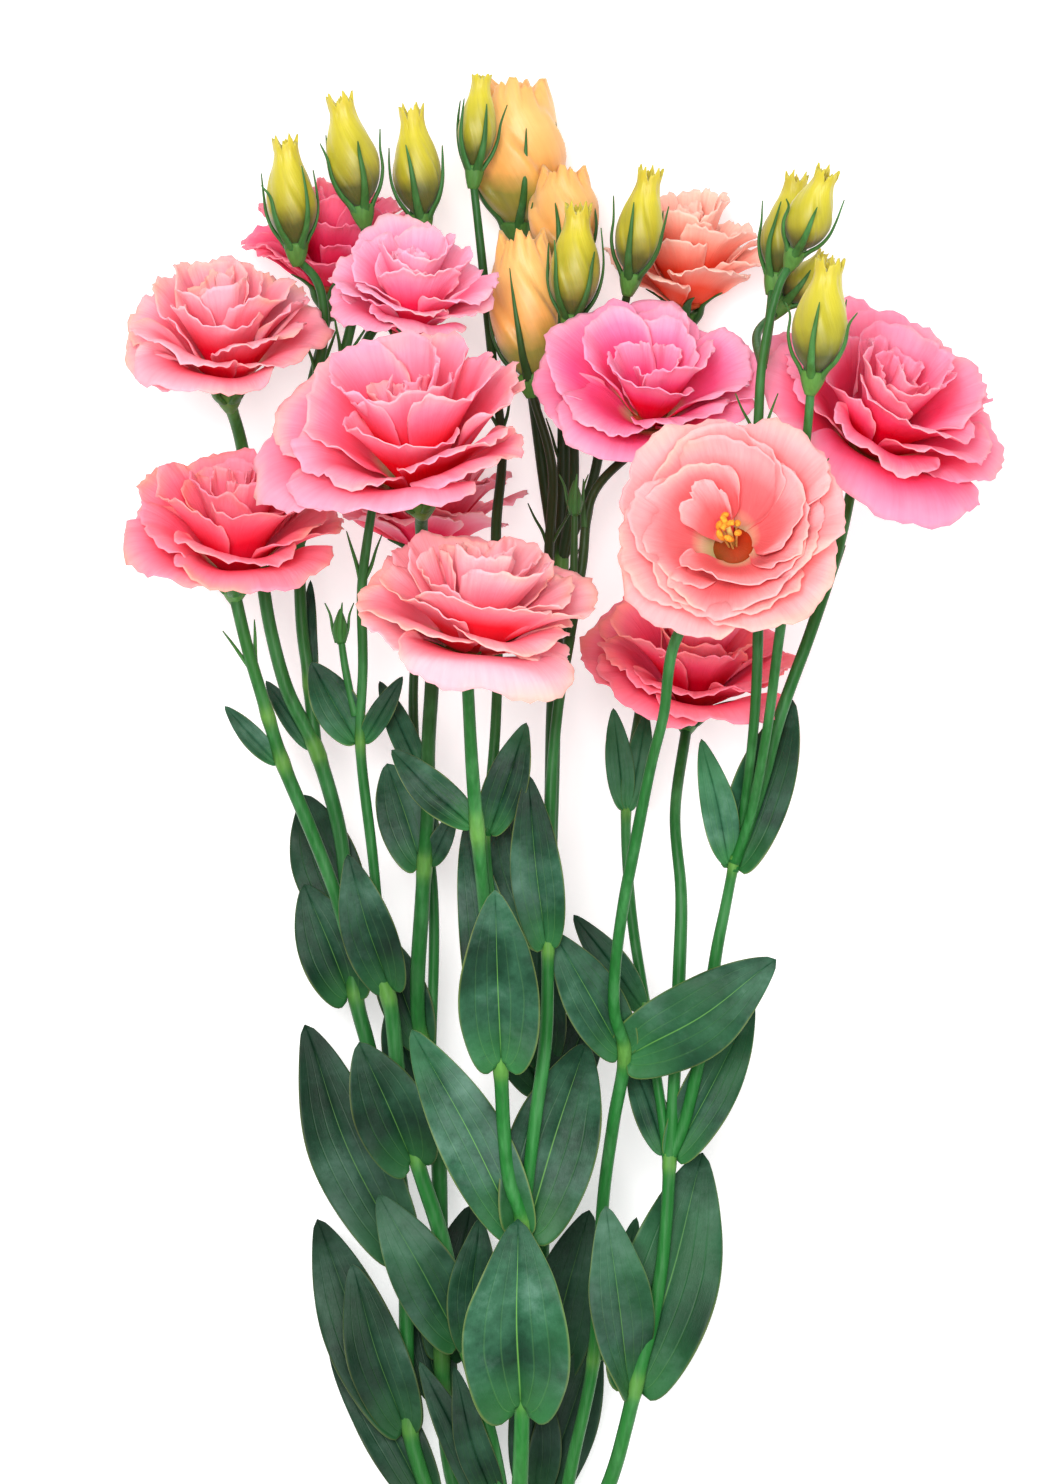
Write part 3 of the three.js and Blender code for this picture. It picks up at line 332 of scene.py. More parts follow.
def rings(heap, points, tone=0.5, reach=1.0):
    """A closed skin over rings of points, each ring an array of corners, with a flat face
    over the first ring and one over the last. Its grid places run up to the reach."""
    rows, columns = points.shape[:2]
    faces, grid = net(rows, columns, wrapped=True)
    first = np.arange(columns)[None, ::-1]
    last = np.arange(columns)[None] + (rows - 1) * columns
    ends = [np.tile([0.5, height], (1, columns, 1)).astype(float) for height in (0.0, 1.0)]
    grid = [place * (1.0, reach) for place in (grid, *ends)]
    heap.add(points.reshape(-1, 3), [faces, first, last], grid, tone)


def unit(vector):
    """A vector, or each of an array of them, divided by its length."""
    vector = np.asarray(vector, float)
    return vector / (np.linalg.norm(vector, axis=-1, keepdims=True) + 1e-12)


def polar(reach, angle, height):
    """Points at a reach from the z axis, an angle round it and a height."""
    reach, angle, height = np.broadcast_arrays(reach, angle, height)
    return np.stack([reach * np.cos(angle), reach * np.sin(angle), height], -1)


def turned(profile, sides):
    """Rings of points: a profile of reaches and heights, turned about the z axis."""
    profile = np.array(profile, float)
    return polar(profile[:, :1], np.arange(sides) * math.tau / sides, profile[:, 1:])


def tube(heap, path, wide, thick=None, facing=(0, 0, 1), sides=12, tone=0.5):
    """A tube along a path. Each ring is an ellipse, wide across and thick along the facing
    way, laid square to the path's slope."""
    path = np.asarray(path, float)
    slope = unit(np.gradient(path, axis=0))
    side = unit(np.cross(slope, np.broadcast_to(facing, path.shape)))
    up = np.cross(side, slope)
    wide = np.broadcast_to(wide, len(path))
    thick = wide if thick is None else np.broadcast_to(thick, len(path))
    turn = np.arange(sides) * math.tau / sides
    out = side[:, None] * np.cos(turn)[None, :, None] * wide[:, None, None]
    out = out + up[:, None] * np.sin(turn)[None, :, None] * thick[:, None, None]
    rings(heap, path[:, None] + out, np.repeat(np.broadcast_to(tone, len(path)), sides))


def smooth_route(points, steps=12):
    """A centripetal Catmull-Rom curve: between each two points runs a cubic whose slopes at
    them come from their neighbours, weighted by the square roots of the distances. The
    route's ends are carried on straight to give the end points neighbours too."""
    p = np.asarray(points, float)
    p = np.vstack([2 * p[0] - p[1], p, 2 * p[-1] - p[-2]])
    a, b, c, d = p[:-3], p[1:-2], p[2:-1], p[3:]
    ab, bc, cd = (np.sqrt(np.linalg.norm(far - near, axis=1, keepdims=True))
                  for near, far in ((a, b), (b, c), (c, d)))
    leave = ((b - a) / ab - (c - a) / (ab + bc) + (c - b) / bc) * bc
    reach = ((c - b) / bc - (d - b) / (bc + cd) + (d - c) / cd) * bc
    t = np.linspace(0, 1, steps, endpoint=False)[None, :, None]
    b, c, leave, reach = (q[:, None] for q in (b, c, leave, reach))
    curve = b + leave * t + (3 * (c - b) - 2 * leave - reach) * t**2
    curve = curve + (2 * (b - c) + leave + reach) * t**3
    return np.vstack([curve.reshape(-1, 3), p[-2]])


def standing(points, foot, axis):
    """Points made about +z, turned the short way so that +z looks along the axis, and set
    on the foot: p' = p + w x p + w x (w x p) / (1 + cos), w the cross of +z and the axis."""
    axis = unit(axis)
    hinge = np.cross([0.0, 0.0, 1.0], axis)
    once = np.cross(hinge, points)
    return points + once + np.cross(hinge, once) / (1 + axis[2]) + np.asarray(foot, float)


# ---------------- petals
# Whorls of petals, in shares of the bloom's radius: count, foot, length, spread (1 just
# meets the neighbours), and lean from the bloom's axis at the foot and at the tip.
FULL = [
    (3, 0.03, 0.96, 1.6, 10, 5),
    (3, 0.05, 1.1, 1.6, 18, 27),
    (4, 0.08, 1.15, 1.5, 27, 52),
    (5, 0.1, 1.15, 1.4, 36, 84),
    (5, 0.12, 1.09, 1.5, 42, 106),
]
SMALL = [
    (3, 0.03, 1.0, 1.6, 10, 8),
    (4, 0.06, 1.12, 1.55, 20, 34),
    (5, 0.09, 1.15, 1.45, 31, 62),
    (6, 0.12, 1.08, 1.5, 42, 92),
]
OPEN = [
    (1, 0.06, 0.92, 0.26, 16, 32),
    (3, 0.12, 0.94, 1.5, 33, 42),
    (4, 0.11, 1.04, 1.5, 37, 56),
    (5, 0.11, 1.1, 1.5, 40, 74),
    (5, 0.12, 1.09, 1.5, 43, 98),
]
LOOSE = [
    (3, 0.04, 0.84, 1.2, 16, 20),
    (4, 0.06, 1.12, 1.5, 24, 38),
    (5, 0.1, 1.13, 1.4, 36, 72),
    (5, 0.12, 1.06, 1.5, 43, 102),
]
BLOWN = [
    (3, 0.03, 1.18, 1.6, 14, 2),
    (4, 0.05, 1.26, 1.5, 22, 30),
    (5, 0.08, 1.22, 1.5, 31, 60),
    (5, 0.1, 1.12, 1.45, 39, 90),
    (6, 0.12, 1.0, 1.5, 46, 116),
]
WHORLS = {"bloom_2": SMALL, "bloom_6": BLOWN, "bloom_7": LOOSE, "bloom_8": OPEN,
          "bloom_10": SMALL, "bloom_12": SMALL}
LEAN_POWER = 2.6  # above 1, a petal keeps its foot's lean and turns out near its tip
BELLY = 26  # degrees that the foot of a petal leaning by 45 leans further, rounding the bowl
PETAL_START = 0.07  # height of the petals' feet
TUCK = 0.09  # how far one edge of a petal stands out and the other in
RIM_HEIGHT = 0.8  # height of the rim that these whorls give
WHORL_STEP = 0.37  # turn from each whorl to the next, as a share of a petal's place
PETAL_THICKNESS = 0.35
PETAL_ROWS, PETAL_COLUMNS = 24, 45
DROOP = 16  # degrees that the lowest petal of a fifth whorl droops by
# Blooms with one hanging petal: the way that it points, how much further it leans and how
# much longer it is.
HANGING = {"bloom_4": (-0.8, -0.3, 0.5), "bloom_6": (0.5, -0.35, 0.8),
           "bloom_9": (0.5, -0.5, 0.7)}
HANGING_LEAN, HANGING_LENGTH = 36, 1.35
# The knob that the petals grow on, as reaches and heights, and how far along a petal's
# colours it runs.
CORE = np.array([(0.02, 0.0), (0.1, 0.03), (0.24, 0.08), (0.25, 0.12), (0.12, 0.17),
                 (0.01, 0.18)])
CORE_REACH = 0.04


def waves(u, rng, *frequencies):
    """Sines of u summed, each of a frequency a little off the one given, in its own phase."""
    return sum(np.sin(f * rng.uniform(0.8, 1.2) * u + rng.uniform(0, math.tau)) / (k + 1)
               for k, f in enumerate(frequencies))


def petal(whorl, radius, rise, azimuth, droop, rng):
    """One petal's middle surface, a patch of the bowl that its middle line sweeps out about
    the axis.

    The line leans from the axis by mix(lean0, lean1, share^2.6) + belly (1 - share)^2. Its
    reach and height are the sums of that angle's sine and cosine along it, and the heights
    are stretched by the bloom's rise. Across the petal the patch turns about the axis. It
    stands in or out by a tuck from edge to edge, by slow waves that grow with the square of
    the share, and by a ruffle near the tip and the side edges. The margin is rounded: the
    petal's length falls from 1 to 0.6 as the root of 1 - |across|^3, with shallow notches."""
    count, foot, length, spread, lean_foot, lean_tip = whorl
    v, u = np.meshgrid(np.linspace(0, 1, PETAL_ROWS) ** 0.85,
                       np.sin(np.linspace(-1, 1, PETAL_COLUMNS) * math.pi / 2), indexing="ij")
    lean_tip = lean_tip + rng.normal(0, 5) + droop
    length = length * (1 + rng.normal(0, 0.06))
    share = np.linspace(0, 1.15, 231)
    belly = BELLY * (lean_foot / 45) ** 2 * np.clip(1 - share, 0, 1) ** 2
    lean = np.radians(lean_foot + belly + (lean_tip - lean_foot) * share ** LEAN_POWER)
    stride = length * radius * share[1]
    out = foot * radius + (np.cumsum(np.sin(lean)) - np.sin(lean)) * stride
    up = PETAL_START * radius + (np.cumsum(np.cos(lean)) - np.cos(lean)) * stride

    side = np.abs(u)
    notch = waves(u, rng, 6, 17, 41)
    skew = rng.normal(0, 0.05)
    round_margin = 0.6 + 0.4 * (1 - side**3) ** 0.5
    t = v * (round_margin + skew * u * v - 0.028 * notch * v**8)
    half_turn = spread * math.pi / count * (1 + rng.normal(0, 0.06))
    widening = 0.45 + 0.55 * np.sin(math.pi / 2 * np.minimum(1, 1.6 * v))
    turn = azimuth + u * half_turn * widening + 0.04 * np.sin(3 * v + rng.uniform(0, 6)) * v

    narrow = min(1.0, 0.4 + 2.4 / count)
    slow = (0.06 * waves(u, rng, 2.8, 6) + 0.015 * np.sin(7 * v + rng.uniform(0, 6))) * v**2
    margin = 1 - (1 - v**6) * (1 - 0.6 * v * side**6)
    ruffle = 0.02 * margin * waves(u + 0.15 * np.sin(4 * v), rng, 11, 23)
    ruffle = ruffle + 0.013 * v**10 * waves(u, rng, 37)
    stand = (TUCK * u * v + slow * narrow + ruffle) * radius

    leaning = np.interp(t, share, lean)
    reach = np.interp(t, share, out) + np.cos(leaning) * stand
    height = np.interp(t, share, up) - np.sin(leaning) * stand
    return polar(reach, turn, height * rise)


def bloom_place(name):
    """A bloom's foot, axis, radius, stretch of its heights, and turn."""
    at, axis, radius, depth, turn = BLOOMS[name]
    foot = np.asarray(at, float) - unit(axis) * depth
    return foot, axis, radius, depth / (RIM_HEIGHT * radius), turn


def bloom_petals(name, rng):
    """A bloom's petals, whorl by whorl, each whorl turned on from the one inside it. As the
    bunch grew upright, petals on a bloom's lower side droop and those on its upper side
    stand, by the part of their direction that points back along the stems. On some blooms
    the outer petal that points nearest to a given way is longer and hangs."""
    foot, axis, radius, rise, turn = bloom_place(name)
    heap = Heap()
    whorls = WHORLS.get(name, FULL)
    for order, whorl in enumerate(whorls):
        count, start, length, *rest = whorl
        places = np.arange(count) + WHORL_STEP * order + rng.normal(0, 0.06, count)
        azimuths = turn + places * math.tau / count
        ways = standing(polar(1, azimuths, 0), (0, 0, 0), axis)
        droops, growth = -DROOP * ways[:, 1] * order / 4, np.ones(count)
        if name in HANGING and whorl is whorls[-1]:
            hung = (ways @ unit(HANGING[name])).argmax()
            droops[hung] += HANGING_LEAN
            growth[hung] = HANGING_LENGTH
        for azimuth, droop, grown in zip(azimuths, droops, growth):
            shape = (count, start, length * grown, *rest)
            middle = petal(shape, radius, rise, azimuth, droop, rng)
            leafy(heap, within(standing(middle, foot, axis)), PETAL_THICKNESS, rng.uniform())
    core = turned(CORE * (radius, radius * rise), 24)
    rings(heap, standing(core, foot, axis), reach=CORE_REACH)
    return heap


# ---------------- buds
# A bud's outline: shares of its widest radius at shares of its length.
BUD_OUTLINE = [(0.2, 0), (0.34, 0.02), (0.66, 0.1), (0.9, 0.22), (1.0, 0.36), (0.97, 0.48),
               (0.8, 0.64), (0.58, 0.78), (0.48, 0.88), (0.5, 0.95), (0.55, 1.0)]
PEACH_OUTLINE = [(0.2, 0), (0.34, 0.02), (0.66, 0.1), (0.88, 0.22), (0.99, 0.36), (1.0, 0.5),
                 (0.95, 0.64), (0.86, 0.78), (0.76, 0.88), (0.68, 0.95), (0.6, 1.0)]
# The pit that a bud's crown turns in to: shares of the lip's radius, and how far down.
BUD_PIT = [(0.86, 0.005), (0.7, 0.05), (0.45, 0.1), (0.15, 0.12)]
BUD_STRETCH = 0.97  # a bud's height as a share of its length, to which its lip then adds


def bud_skin(name, rng):
    """A bud turned about its axis. Its furled petals step round it: the radius swells slowly
    across each and falls back fast at its seam, and the seams twist as they rise. A
    half-open bud has fewer, deeper ones. The lip rises and falls by sines, and the crown
    turns in to a shallow pit."""
    foot, axis, length, radius, turn = BUDS[name]
    peach = name.startswith("peach")
    sides, rows = 80, 46
    height = np.linspace(0, 1, rows)
    shares, levels = np.array(PEACH_OUTLINE if peach else BUD_OUTLINE).T
    outline = np.interp(height, levels, shares)
    outline = np.convolve(np.pad(outline, 2, mode="edge"), np.ones(5) / 5, mode="valid")
    around = np.arange(sides) * math.tau / sides
    petals, depth, twist, plump = (4, 0.17, 0.8, 1.1) if peach else (5, 0.08, 0.55, 1)
    z, angle = np.meshgrid(height, around, indexing="ij")
    place = (petals * angle / math.tau + twist * petals * z**1.2 / 2 + turn) % 1.0
    step = np.minimum(place / 0.86, (1 - place) / 0.14)
    swell = 1 + depth * (step - 0.5) * np.sin(math.pi * np.clip(z * 1.1, 0, 1)) ** 0.5
    lip = 0.05 * np.sin(petals * angle + 2 * turn) + 0.03 * np.sin(11 * angle + turn)
    lip = lip + 0.02 * np.sin(23 * angle + 5 * turn)
    reach = outline[:, None] * swell * (1 + 0.5 * lip * np.clip(z * 5 - 4, 0, 1))
    rise = z * (1 + lip * np.clip(z * 4 - 3, 0, 1) * 0.9)
    reach = np.vstack([reach] + [reach[-1] * share for share, _ in BUD_PIT]) * radius * plump
    rise = np.vstack([rise] + [rise[-1] - drop for _, drop in BUD_PIT]) * length * BUD_STRETCH
    angle = np.vstack([angle, np.repeat(angle[:1], len(BUD_PIT), 0)])
    heap = Heap()
    rings(heap, within(standing(polar(reach, angle, rise), foot, axis)), rng.uniform())
    return heap


def bud_radius(radius, share):
    """A bud's radius at a share of its length."""
    shares, levels = np.array(BUD_OUTLINE).T
    return radius * np.interp(share, levels, shares)


# ---------------- green parts
LEAF_THICKNESS = 0.5
# How yellow-green a part is, from 0 to 1.
CUP_TONE, SEPAL_TONE, JOINT_TONE = 0.4, 0.1, 0.5


def cup(heap, foot, axis, top, depth):
    """The swollen green cup under a head: turned about the axis with five faint ridges, from
    the stem's width out to the top's, a quarter of a sine wide at each share of its depth."""
    share = np.linspace(0, 1, 9)[:, None]
    around = np.arange(20) * math.pi / 10
    reach = TWIG + (top - TWIG) * np.sin(share * math.pi / 2)
    skin = polar(reach * (1 + 0.06 * np.cos(5 * around)), around, (share - 1) * depth)
    rings(heap, standing(skin, foot, axis), CUP_TONE)


def sepal(heap, foot, axis, turn, spine, wide):
    """One sepal, a keeled strip that tapers along a curve of outward and upward steps."""
    line = smooth_route(spine, 8)
    c, s = math.cos(turn), math.sin(turn)
    line = np.stack([line[:, 0] * c - line[:, 1] * s, line[:, 0] * s + line[:, 1] * c,
                     line[:, 2]], -1)
    share = np.linspace(0, 1, len(line))
    width = wide * (1 - share) ** 0.75 + 0.12
    outward = standing(polar(1, turn, 0), (0, 0, 0), axis)
    tube(heap, standing(line, foot, axis), width, 0.42 * width + 0.1, outward, 8, SEPAL_TONE)


def bloom_green(heap, name, rng):
    """The cup of a bloom with its five sepals, which hug the bloom's base and then spread
    out beneath the outer petals."""
    foot, axis, radius, rise, turn = bloom_place(name)
    top = 0.12 * radius + 0.9
    tall = radius * rise
    cup(heap, foot, axis, top, 6.5)
    for k in range(5):
        side, lift = rng.normal(0, 0.8), rng.normal(0, 0.02 * tall)
        spine = [(top - 1, 0, -2.5), (top + 0.7, 0, -0.3),
                 (0.2 * radius + 1, side * 0.5, 0.09 * tall + lift * 0.3),
                 (0.3 * radius + 1.3, side, 0.17 * tall + lift * 0.6),
                 (0.42 * radius + 2.4, side * 2, 0.25 * tall + lift)]
        sepal(heap, foot, axis, turn + k * math.tau / 5, spine, 1.7)


def bud_green(heap, name, rng):
    """The cup of a bud with its five slender sepals, which hug it and flick out."""
    foot, axis, length, radius, turn = BUDS[name]
    top = 0.34 * radius + 0.9
    cup(heap, foot, axis, top, 6)
    for k in range(5):
        side, flick = rng.normal(0, 0.6), rng.uniform(0.6, 2.6)
        tip = 0.66 + rng.normal(0, 0.05)
        hug = [(bud_radius(radius, share) * 1.05 + 0.55, side * share,
                share * length * BUD_STRETCH) for share in (0.14, 0.3)]
        spine = [(top - 0.9, 0, -1.5), (top + 0.3, 0, 0.02 * length), *hug,
                 (bud_radius(radius, 0.46) + 1.1, side * 0.8, 0.47 * length),
                 (bud_radius(radius, tip) + flick + 1.2, side * 1.6, tip * length)]
        sepal(heap, foot, axis, turn + k * math.tau / 5, spine, 1.25)


def leaf_width(v):
    """A leaf's half width at a share v of its length, as a share of the widest: clasping at
    the foot, broadest below the middle, pointed at the tip."""
    body = np.sin(math.pi * np.clip(v, 0, 1) ** 0.8) ** 0.75
    return 0.05 + 0.12 * (1 - v) ** 3 + 0.95 * body


def leaf(heap, foot, tip, width, rng, bow=0.06, twist=0):
    """A leaf from its foot to its tip, folded along its midrib, bowed along its length.

    Each half stands up from the midrib by an angle of its own. The lobes at the foot reach
    back by the square of the place across times the fifth power of what is left of the
    length. The margin waves with the cube of the place across, and the midrib is a groove,
    a bell curve across. A twist turns the foot about the midrib and fades out towards the
    tip, which tapers to a point and curls."""
    v, u = np.meshgrid(np.linspace(0, 1, 40) ** 1.1, np.linspace(-1, 1, 33), indexing="ij")
    u = np.sign(u) * np.abs(u) ** 1.2
    along = np.asarray(tip, float) - foot
    length = np.linalg.norm(along)
    along = along / length
    up = unit(np.array([0, 0, 1.0]) - along[2] * along)
    across = np.cross(along, up)
    half = 0.5 * width * leaf_width(v)
    half[-1] *= 0.25
    beat, phase = rng.uniform(1.0, 1.9), rng.uniform(0, math.tau)
    edge = np.abs(u)
    lobe = 1.05 if width > 12 else 0.3
    run = v * length - lobe * half * edge**2 * (1 - v) ** 5
    left, right = np.radians(rng.uniform(5, 27, 2))
    fold = np.where(u < 0, left, right) * (1 - 0.35 * v)
    rise = edge * half * np.sin(fold)
    wave = np.sin(math.tau * beat * v + phase + 1.4 * np.sign(u))
    wave = wave + 0.35 * np.sin(math.tau * 3.1 * v + 2.1 * phase - 2.0 * np.sign(u))
    rise = rise + 0.06 * width * edge**3 * wave * np.minimum(1, 3 * (1 - v))
    rise = rise - 0.45 * np.exp(-(u / 0.07) ** 2) * (1 - 0.7 * v)
    rise = rise - 0.16 * np.sin(math.pi * np.clip((edge - 0.3) / 0.4, 0, 1)) * (1 - v)
    turn = np.radians(twist * (1 - v) ** 1.2)
    side = u * half * np.cos(fold)
    over = side * np.cos(turn) - rise * np.sin(turn)
    lift = side * np.sin(turn) + rise * np.cos(turn) + bow * length * np.sin(math.pi * v)
    lift = lift + 0.12 * length * np.clip(v - 0.8, 0, 1) ** 1.5 * rng.normal(-1, 3)
    sway = 0.02 * length * rng.normal() * np.sin(math.pi * v) ** 2
    middle = (foot + along * run[..., None] + across * (over + sway)[..., None]
              + up * lift[..., None])
    leafy(heap, middle, LEAF_THICKNESS, rng.uniform())


def bud_of_leaf(heap, foot):
    """A side shoot's tip: a small green bud with three slips beside it."""
    grain = [(0.7, -1), (1.6, 0.5), (2.0, 2.2), (1.7, 4.2), (1.1, 6), (0.5, 7.5), (0.2, 8)]
    rings(heap, standing(turned(grain, 12), foot, (0, 1, 0)), SEPAL_TONE)
    for k in range(3):
        spine = [(1.0, 0, -0.5), (2.2, 0, 3), (2.8, 0.3, 6.5), (4.2, 0.6, 9.5)]
        sepal(heap, foot, (0, 1, 0), 0.5 + k * 2.1, spine, 0.7)


def spot_on(line, y):
    """The point of a line nearest to a y, and the line's slope there."""
    near = np.abs(line[:-1, 1] - y).argmin()
    return line[near], unit(line[near + 1] - line[near])


def stem_parts(name, order, rng):
    """One leafy stem: its stalks, with its cups and sepals, and its leaves.

    Each stalk is a tube along its smooth route. It thickens by a bell curve where a leaf or
    branch leaves it, wavers a little and tapers by a fifth. A leaf starts at the stalk's
    surface, on the side that its tip is on. Pairs of small slips sit on some stalks."""
    seat, routes, leaves = STEMS[name]
    stalks, blades = Heap(), Heap()
    turn, pitch = (0, 0) if seat is None else (math.radians(seat), BUNDLE_PITCH)
    x, z = BAND_X + pitch * math.cos(turn), BAND_HEIGHT + pitch * math.sin(turn)
    start = [(x + 0.25 * pitch * math.cos(turn), CUT_Y + 3 * (order % 3),
              z + 0.1 * pitch * math.sin(turn)),
             *((x, BAND_Y + on, z) for on in (-BAND_STRAIGHT, 0, BAND_STRAIGHT))]
    lines = []
    for k, (radius, head, points) in enumerate(routes):
        points = (start if k == 0 else []) + list(points)
        if head:
            foot, axis = (bloom_place if head in BLOOMS else BUDS.get)(head)[:2]
            points.append(tuple(np.asarray(foot, float) - 4 * unit(axis)))
        line = smooth_route(points)
        lines.append(line)
        joints = [y for on, y, *_ in leaves if on == k]
        joints += [other[2][0][1] for other in routes[1:] if k == 0]
        swell = sum((np.exp(-((line[:, 1] - y) / 2.4) ** 2) for y in set(joints)),
                    np.zeros(len(line)))
        swell = np.minimum(swell, 1)
        waver = 0.035 * np.sin(line[:, 1] * 0.11 + order + k)
        taper = 1.0 - 0.2 * np.clip(np.linspace(-0.6, 1, len(line)), 0, 1)
        tube(stalks, line, radius * (taper + 0.12 * swell + waver), tone=JOINT_TONE * swell)
        if head:
            (bloom_green if head in BLOOMS else bud_green)(stalks, head, rng)
    for on, y, tip, width, *shape in leaves:
        at, slope = spot_on(lines[on], y)
        way = np.asarray(tip, float) - at
        foot = at + 0.75 * routes[on][0] * unit(way - (way @ slope) * slope)
        leaf(blades, foot, tip, width, rng, *shape)
    if name in SHOOT_TIPS:
        bud_of_leaf(stalks, SHOOT_TIPS[name])
    for on, y in SLIPS.get(name, ()):
        at, slope = spot_on(lines[on], y)
        for side in (0.3, 3.3):
            reach = rng.uniform(2.5, 5)
            spine = [(0.6, 0, -1.5), (2.0, 0, 2), (0.7 * reach + 1, 0.2, 6),
                     (reach + 1.5, 0.5, 10)]
            sepal(stalks, at, slope, side + rng.normal(0, 0.4), spine, 0.9)
    return stalks, blades


# ---------------- stamens and band
def stamen_parts(name, rng):
    """The middle of the open bloom: pale filaments and a pistil, and their orange anthers,
    each a plump bent grain."""
    foot, axis, radius, rise, turn = bloom_place(name)
    base = 0.12 * radius * rise + 0.2
    stalks, anthers = Heap(), Heap()
    tube(stalks, standing(np.array([(0, 0, base), (0.2, 0, base + 6), (0.1, 0.1, base + 13.5)]),
                          foot, axis), [0.75, 0.6, 0.7], facing=(1, 0, 0), sides=10)
    for k in range(3):
        a = turn + k * math.tau / 3
        lobe = polar([0, 0.9, 2.0], a, base + np.array([13, 14.2, 14.4]))
        tube(anthers, standing(smooth_route(lobe, 4), foot, axis), 0.75, facing=(1, 0, 0), sides=8)
    for k in range(6):
        a = turn + (k + 0.5) * math.tau / 6 + rng.normal(0, 0.15)
        tall, wide = base + 11.5 + rng.normal(0, 1.2), 2.3 + rng.normal(0, 0.25)
        c, s = math.cos(a), math.sin(a)
        line = smooth_route(polar([0.9, 1.5, wide], a, [base, base + 5, tall]), 5)
        tube(stalks, standing(line, foot, axis), 0.28, facing=(1, 0, 0), sides=6)
        grain = smooth_route([(wide * c - 0.9 * s, wide * s + 0.9 * c, tall - 1.5),
                              (wide * c * 1.12, wide * s * 1.12, tall + 0.2),
                              (wide * c + 0.9 * s, wide * s - 0.9 * c, tall + 1.2)], 6)
        plump = 0.85 * np.sin(math.pi * np.linspace(0.08, 0.92, len(grain))) ** 0.6
        tube(anthers, standing(grain, foot, axis), plump, facing=(0, 0, 1), sides=10)
    return stalks, anthers


STRANDS, STRAND_PITCH, STRAND_RADIUS = 6, 1.68, 8.15
STRAND_WIDTH, STRAND_THICKNESS, STRAND_LAP, STRAND_WAVER = 2.1, 0.6, 0.12, 0.35


def raffia(rng):
    """The band: flat strands wound side by side round the stems. A strand is a closed ring
    whose middle wavers along the stems and whose radius rises where it laps the next."""
    heap = Heap()
    turn = np.arange(72) * math.pi / 36
    out = np.stack([np.cos(turn), 0 * turn, np.sin(turn)], -1)[:, None]
    section = np.arange(10)[:, None] * math.pi / 5
    for k in range(STRANDS):
        radius = STRAND_RADIUS + STRAND_LAP * (k % 2 + np.sin(3 * turn + rng.uniform(0, 6)))
        y = BAND_Y + (k - (STRANDS - 1) / 2) * STRAND_PITCH
        y = y + STRAND_WAVER * np.sin(turn + rng.uniform(0, 6))
        line = np.stack([BAND_X + radius * np.cos(turn), y,
                         BAND_HEIGHT + radius * np.sin(turn)], -1)
        flat = np.array([0, STRAND_WIDTH / 2, 0]) * np.cos(section)
        ring = line[:, None] + flat + out * STRAND_THICKNESS / 2 * np.sin(section)
        faces, grid = net(len(ring) + 1, len(section), wrapped=True)
        faces = faces % (len(ring) * len(section))
        heap.add(ring.reshape(-1, 3), [faces], [grid], rng.uniform())
    return heap


# ---------------- finishes
VEIN_ARCS = 0.36, 0.66  # where a leaf's side veins lie between its midrib and its margin


def rgb(tone):
    """A hexadecimal colour as linear light: ((c + 0.055) / 1.055)^2.4, or c / 12.92 when
    the channel is under 0.04045. A number is a grey, and three numbers are kept."""
    if not isinstance(tone, str):
        return (*np.broadcast_to(tone, 3), 1.0)
    channels = [int(tone[k:k + 2], 16) / 255 for k in (0, 2, 4)]
    return (*(c / 12.92 if c < 0.04045 else ((c + 0.055) / 1.055) ** 2.4 for c in channels), 1.0)


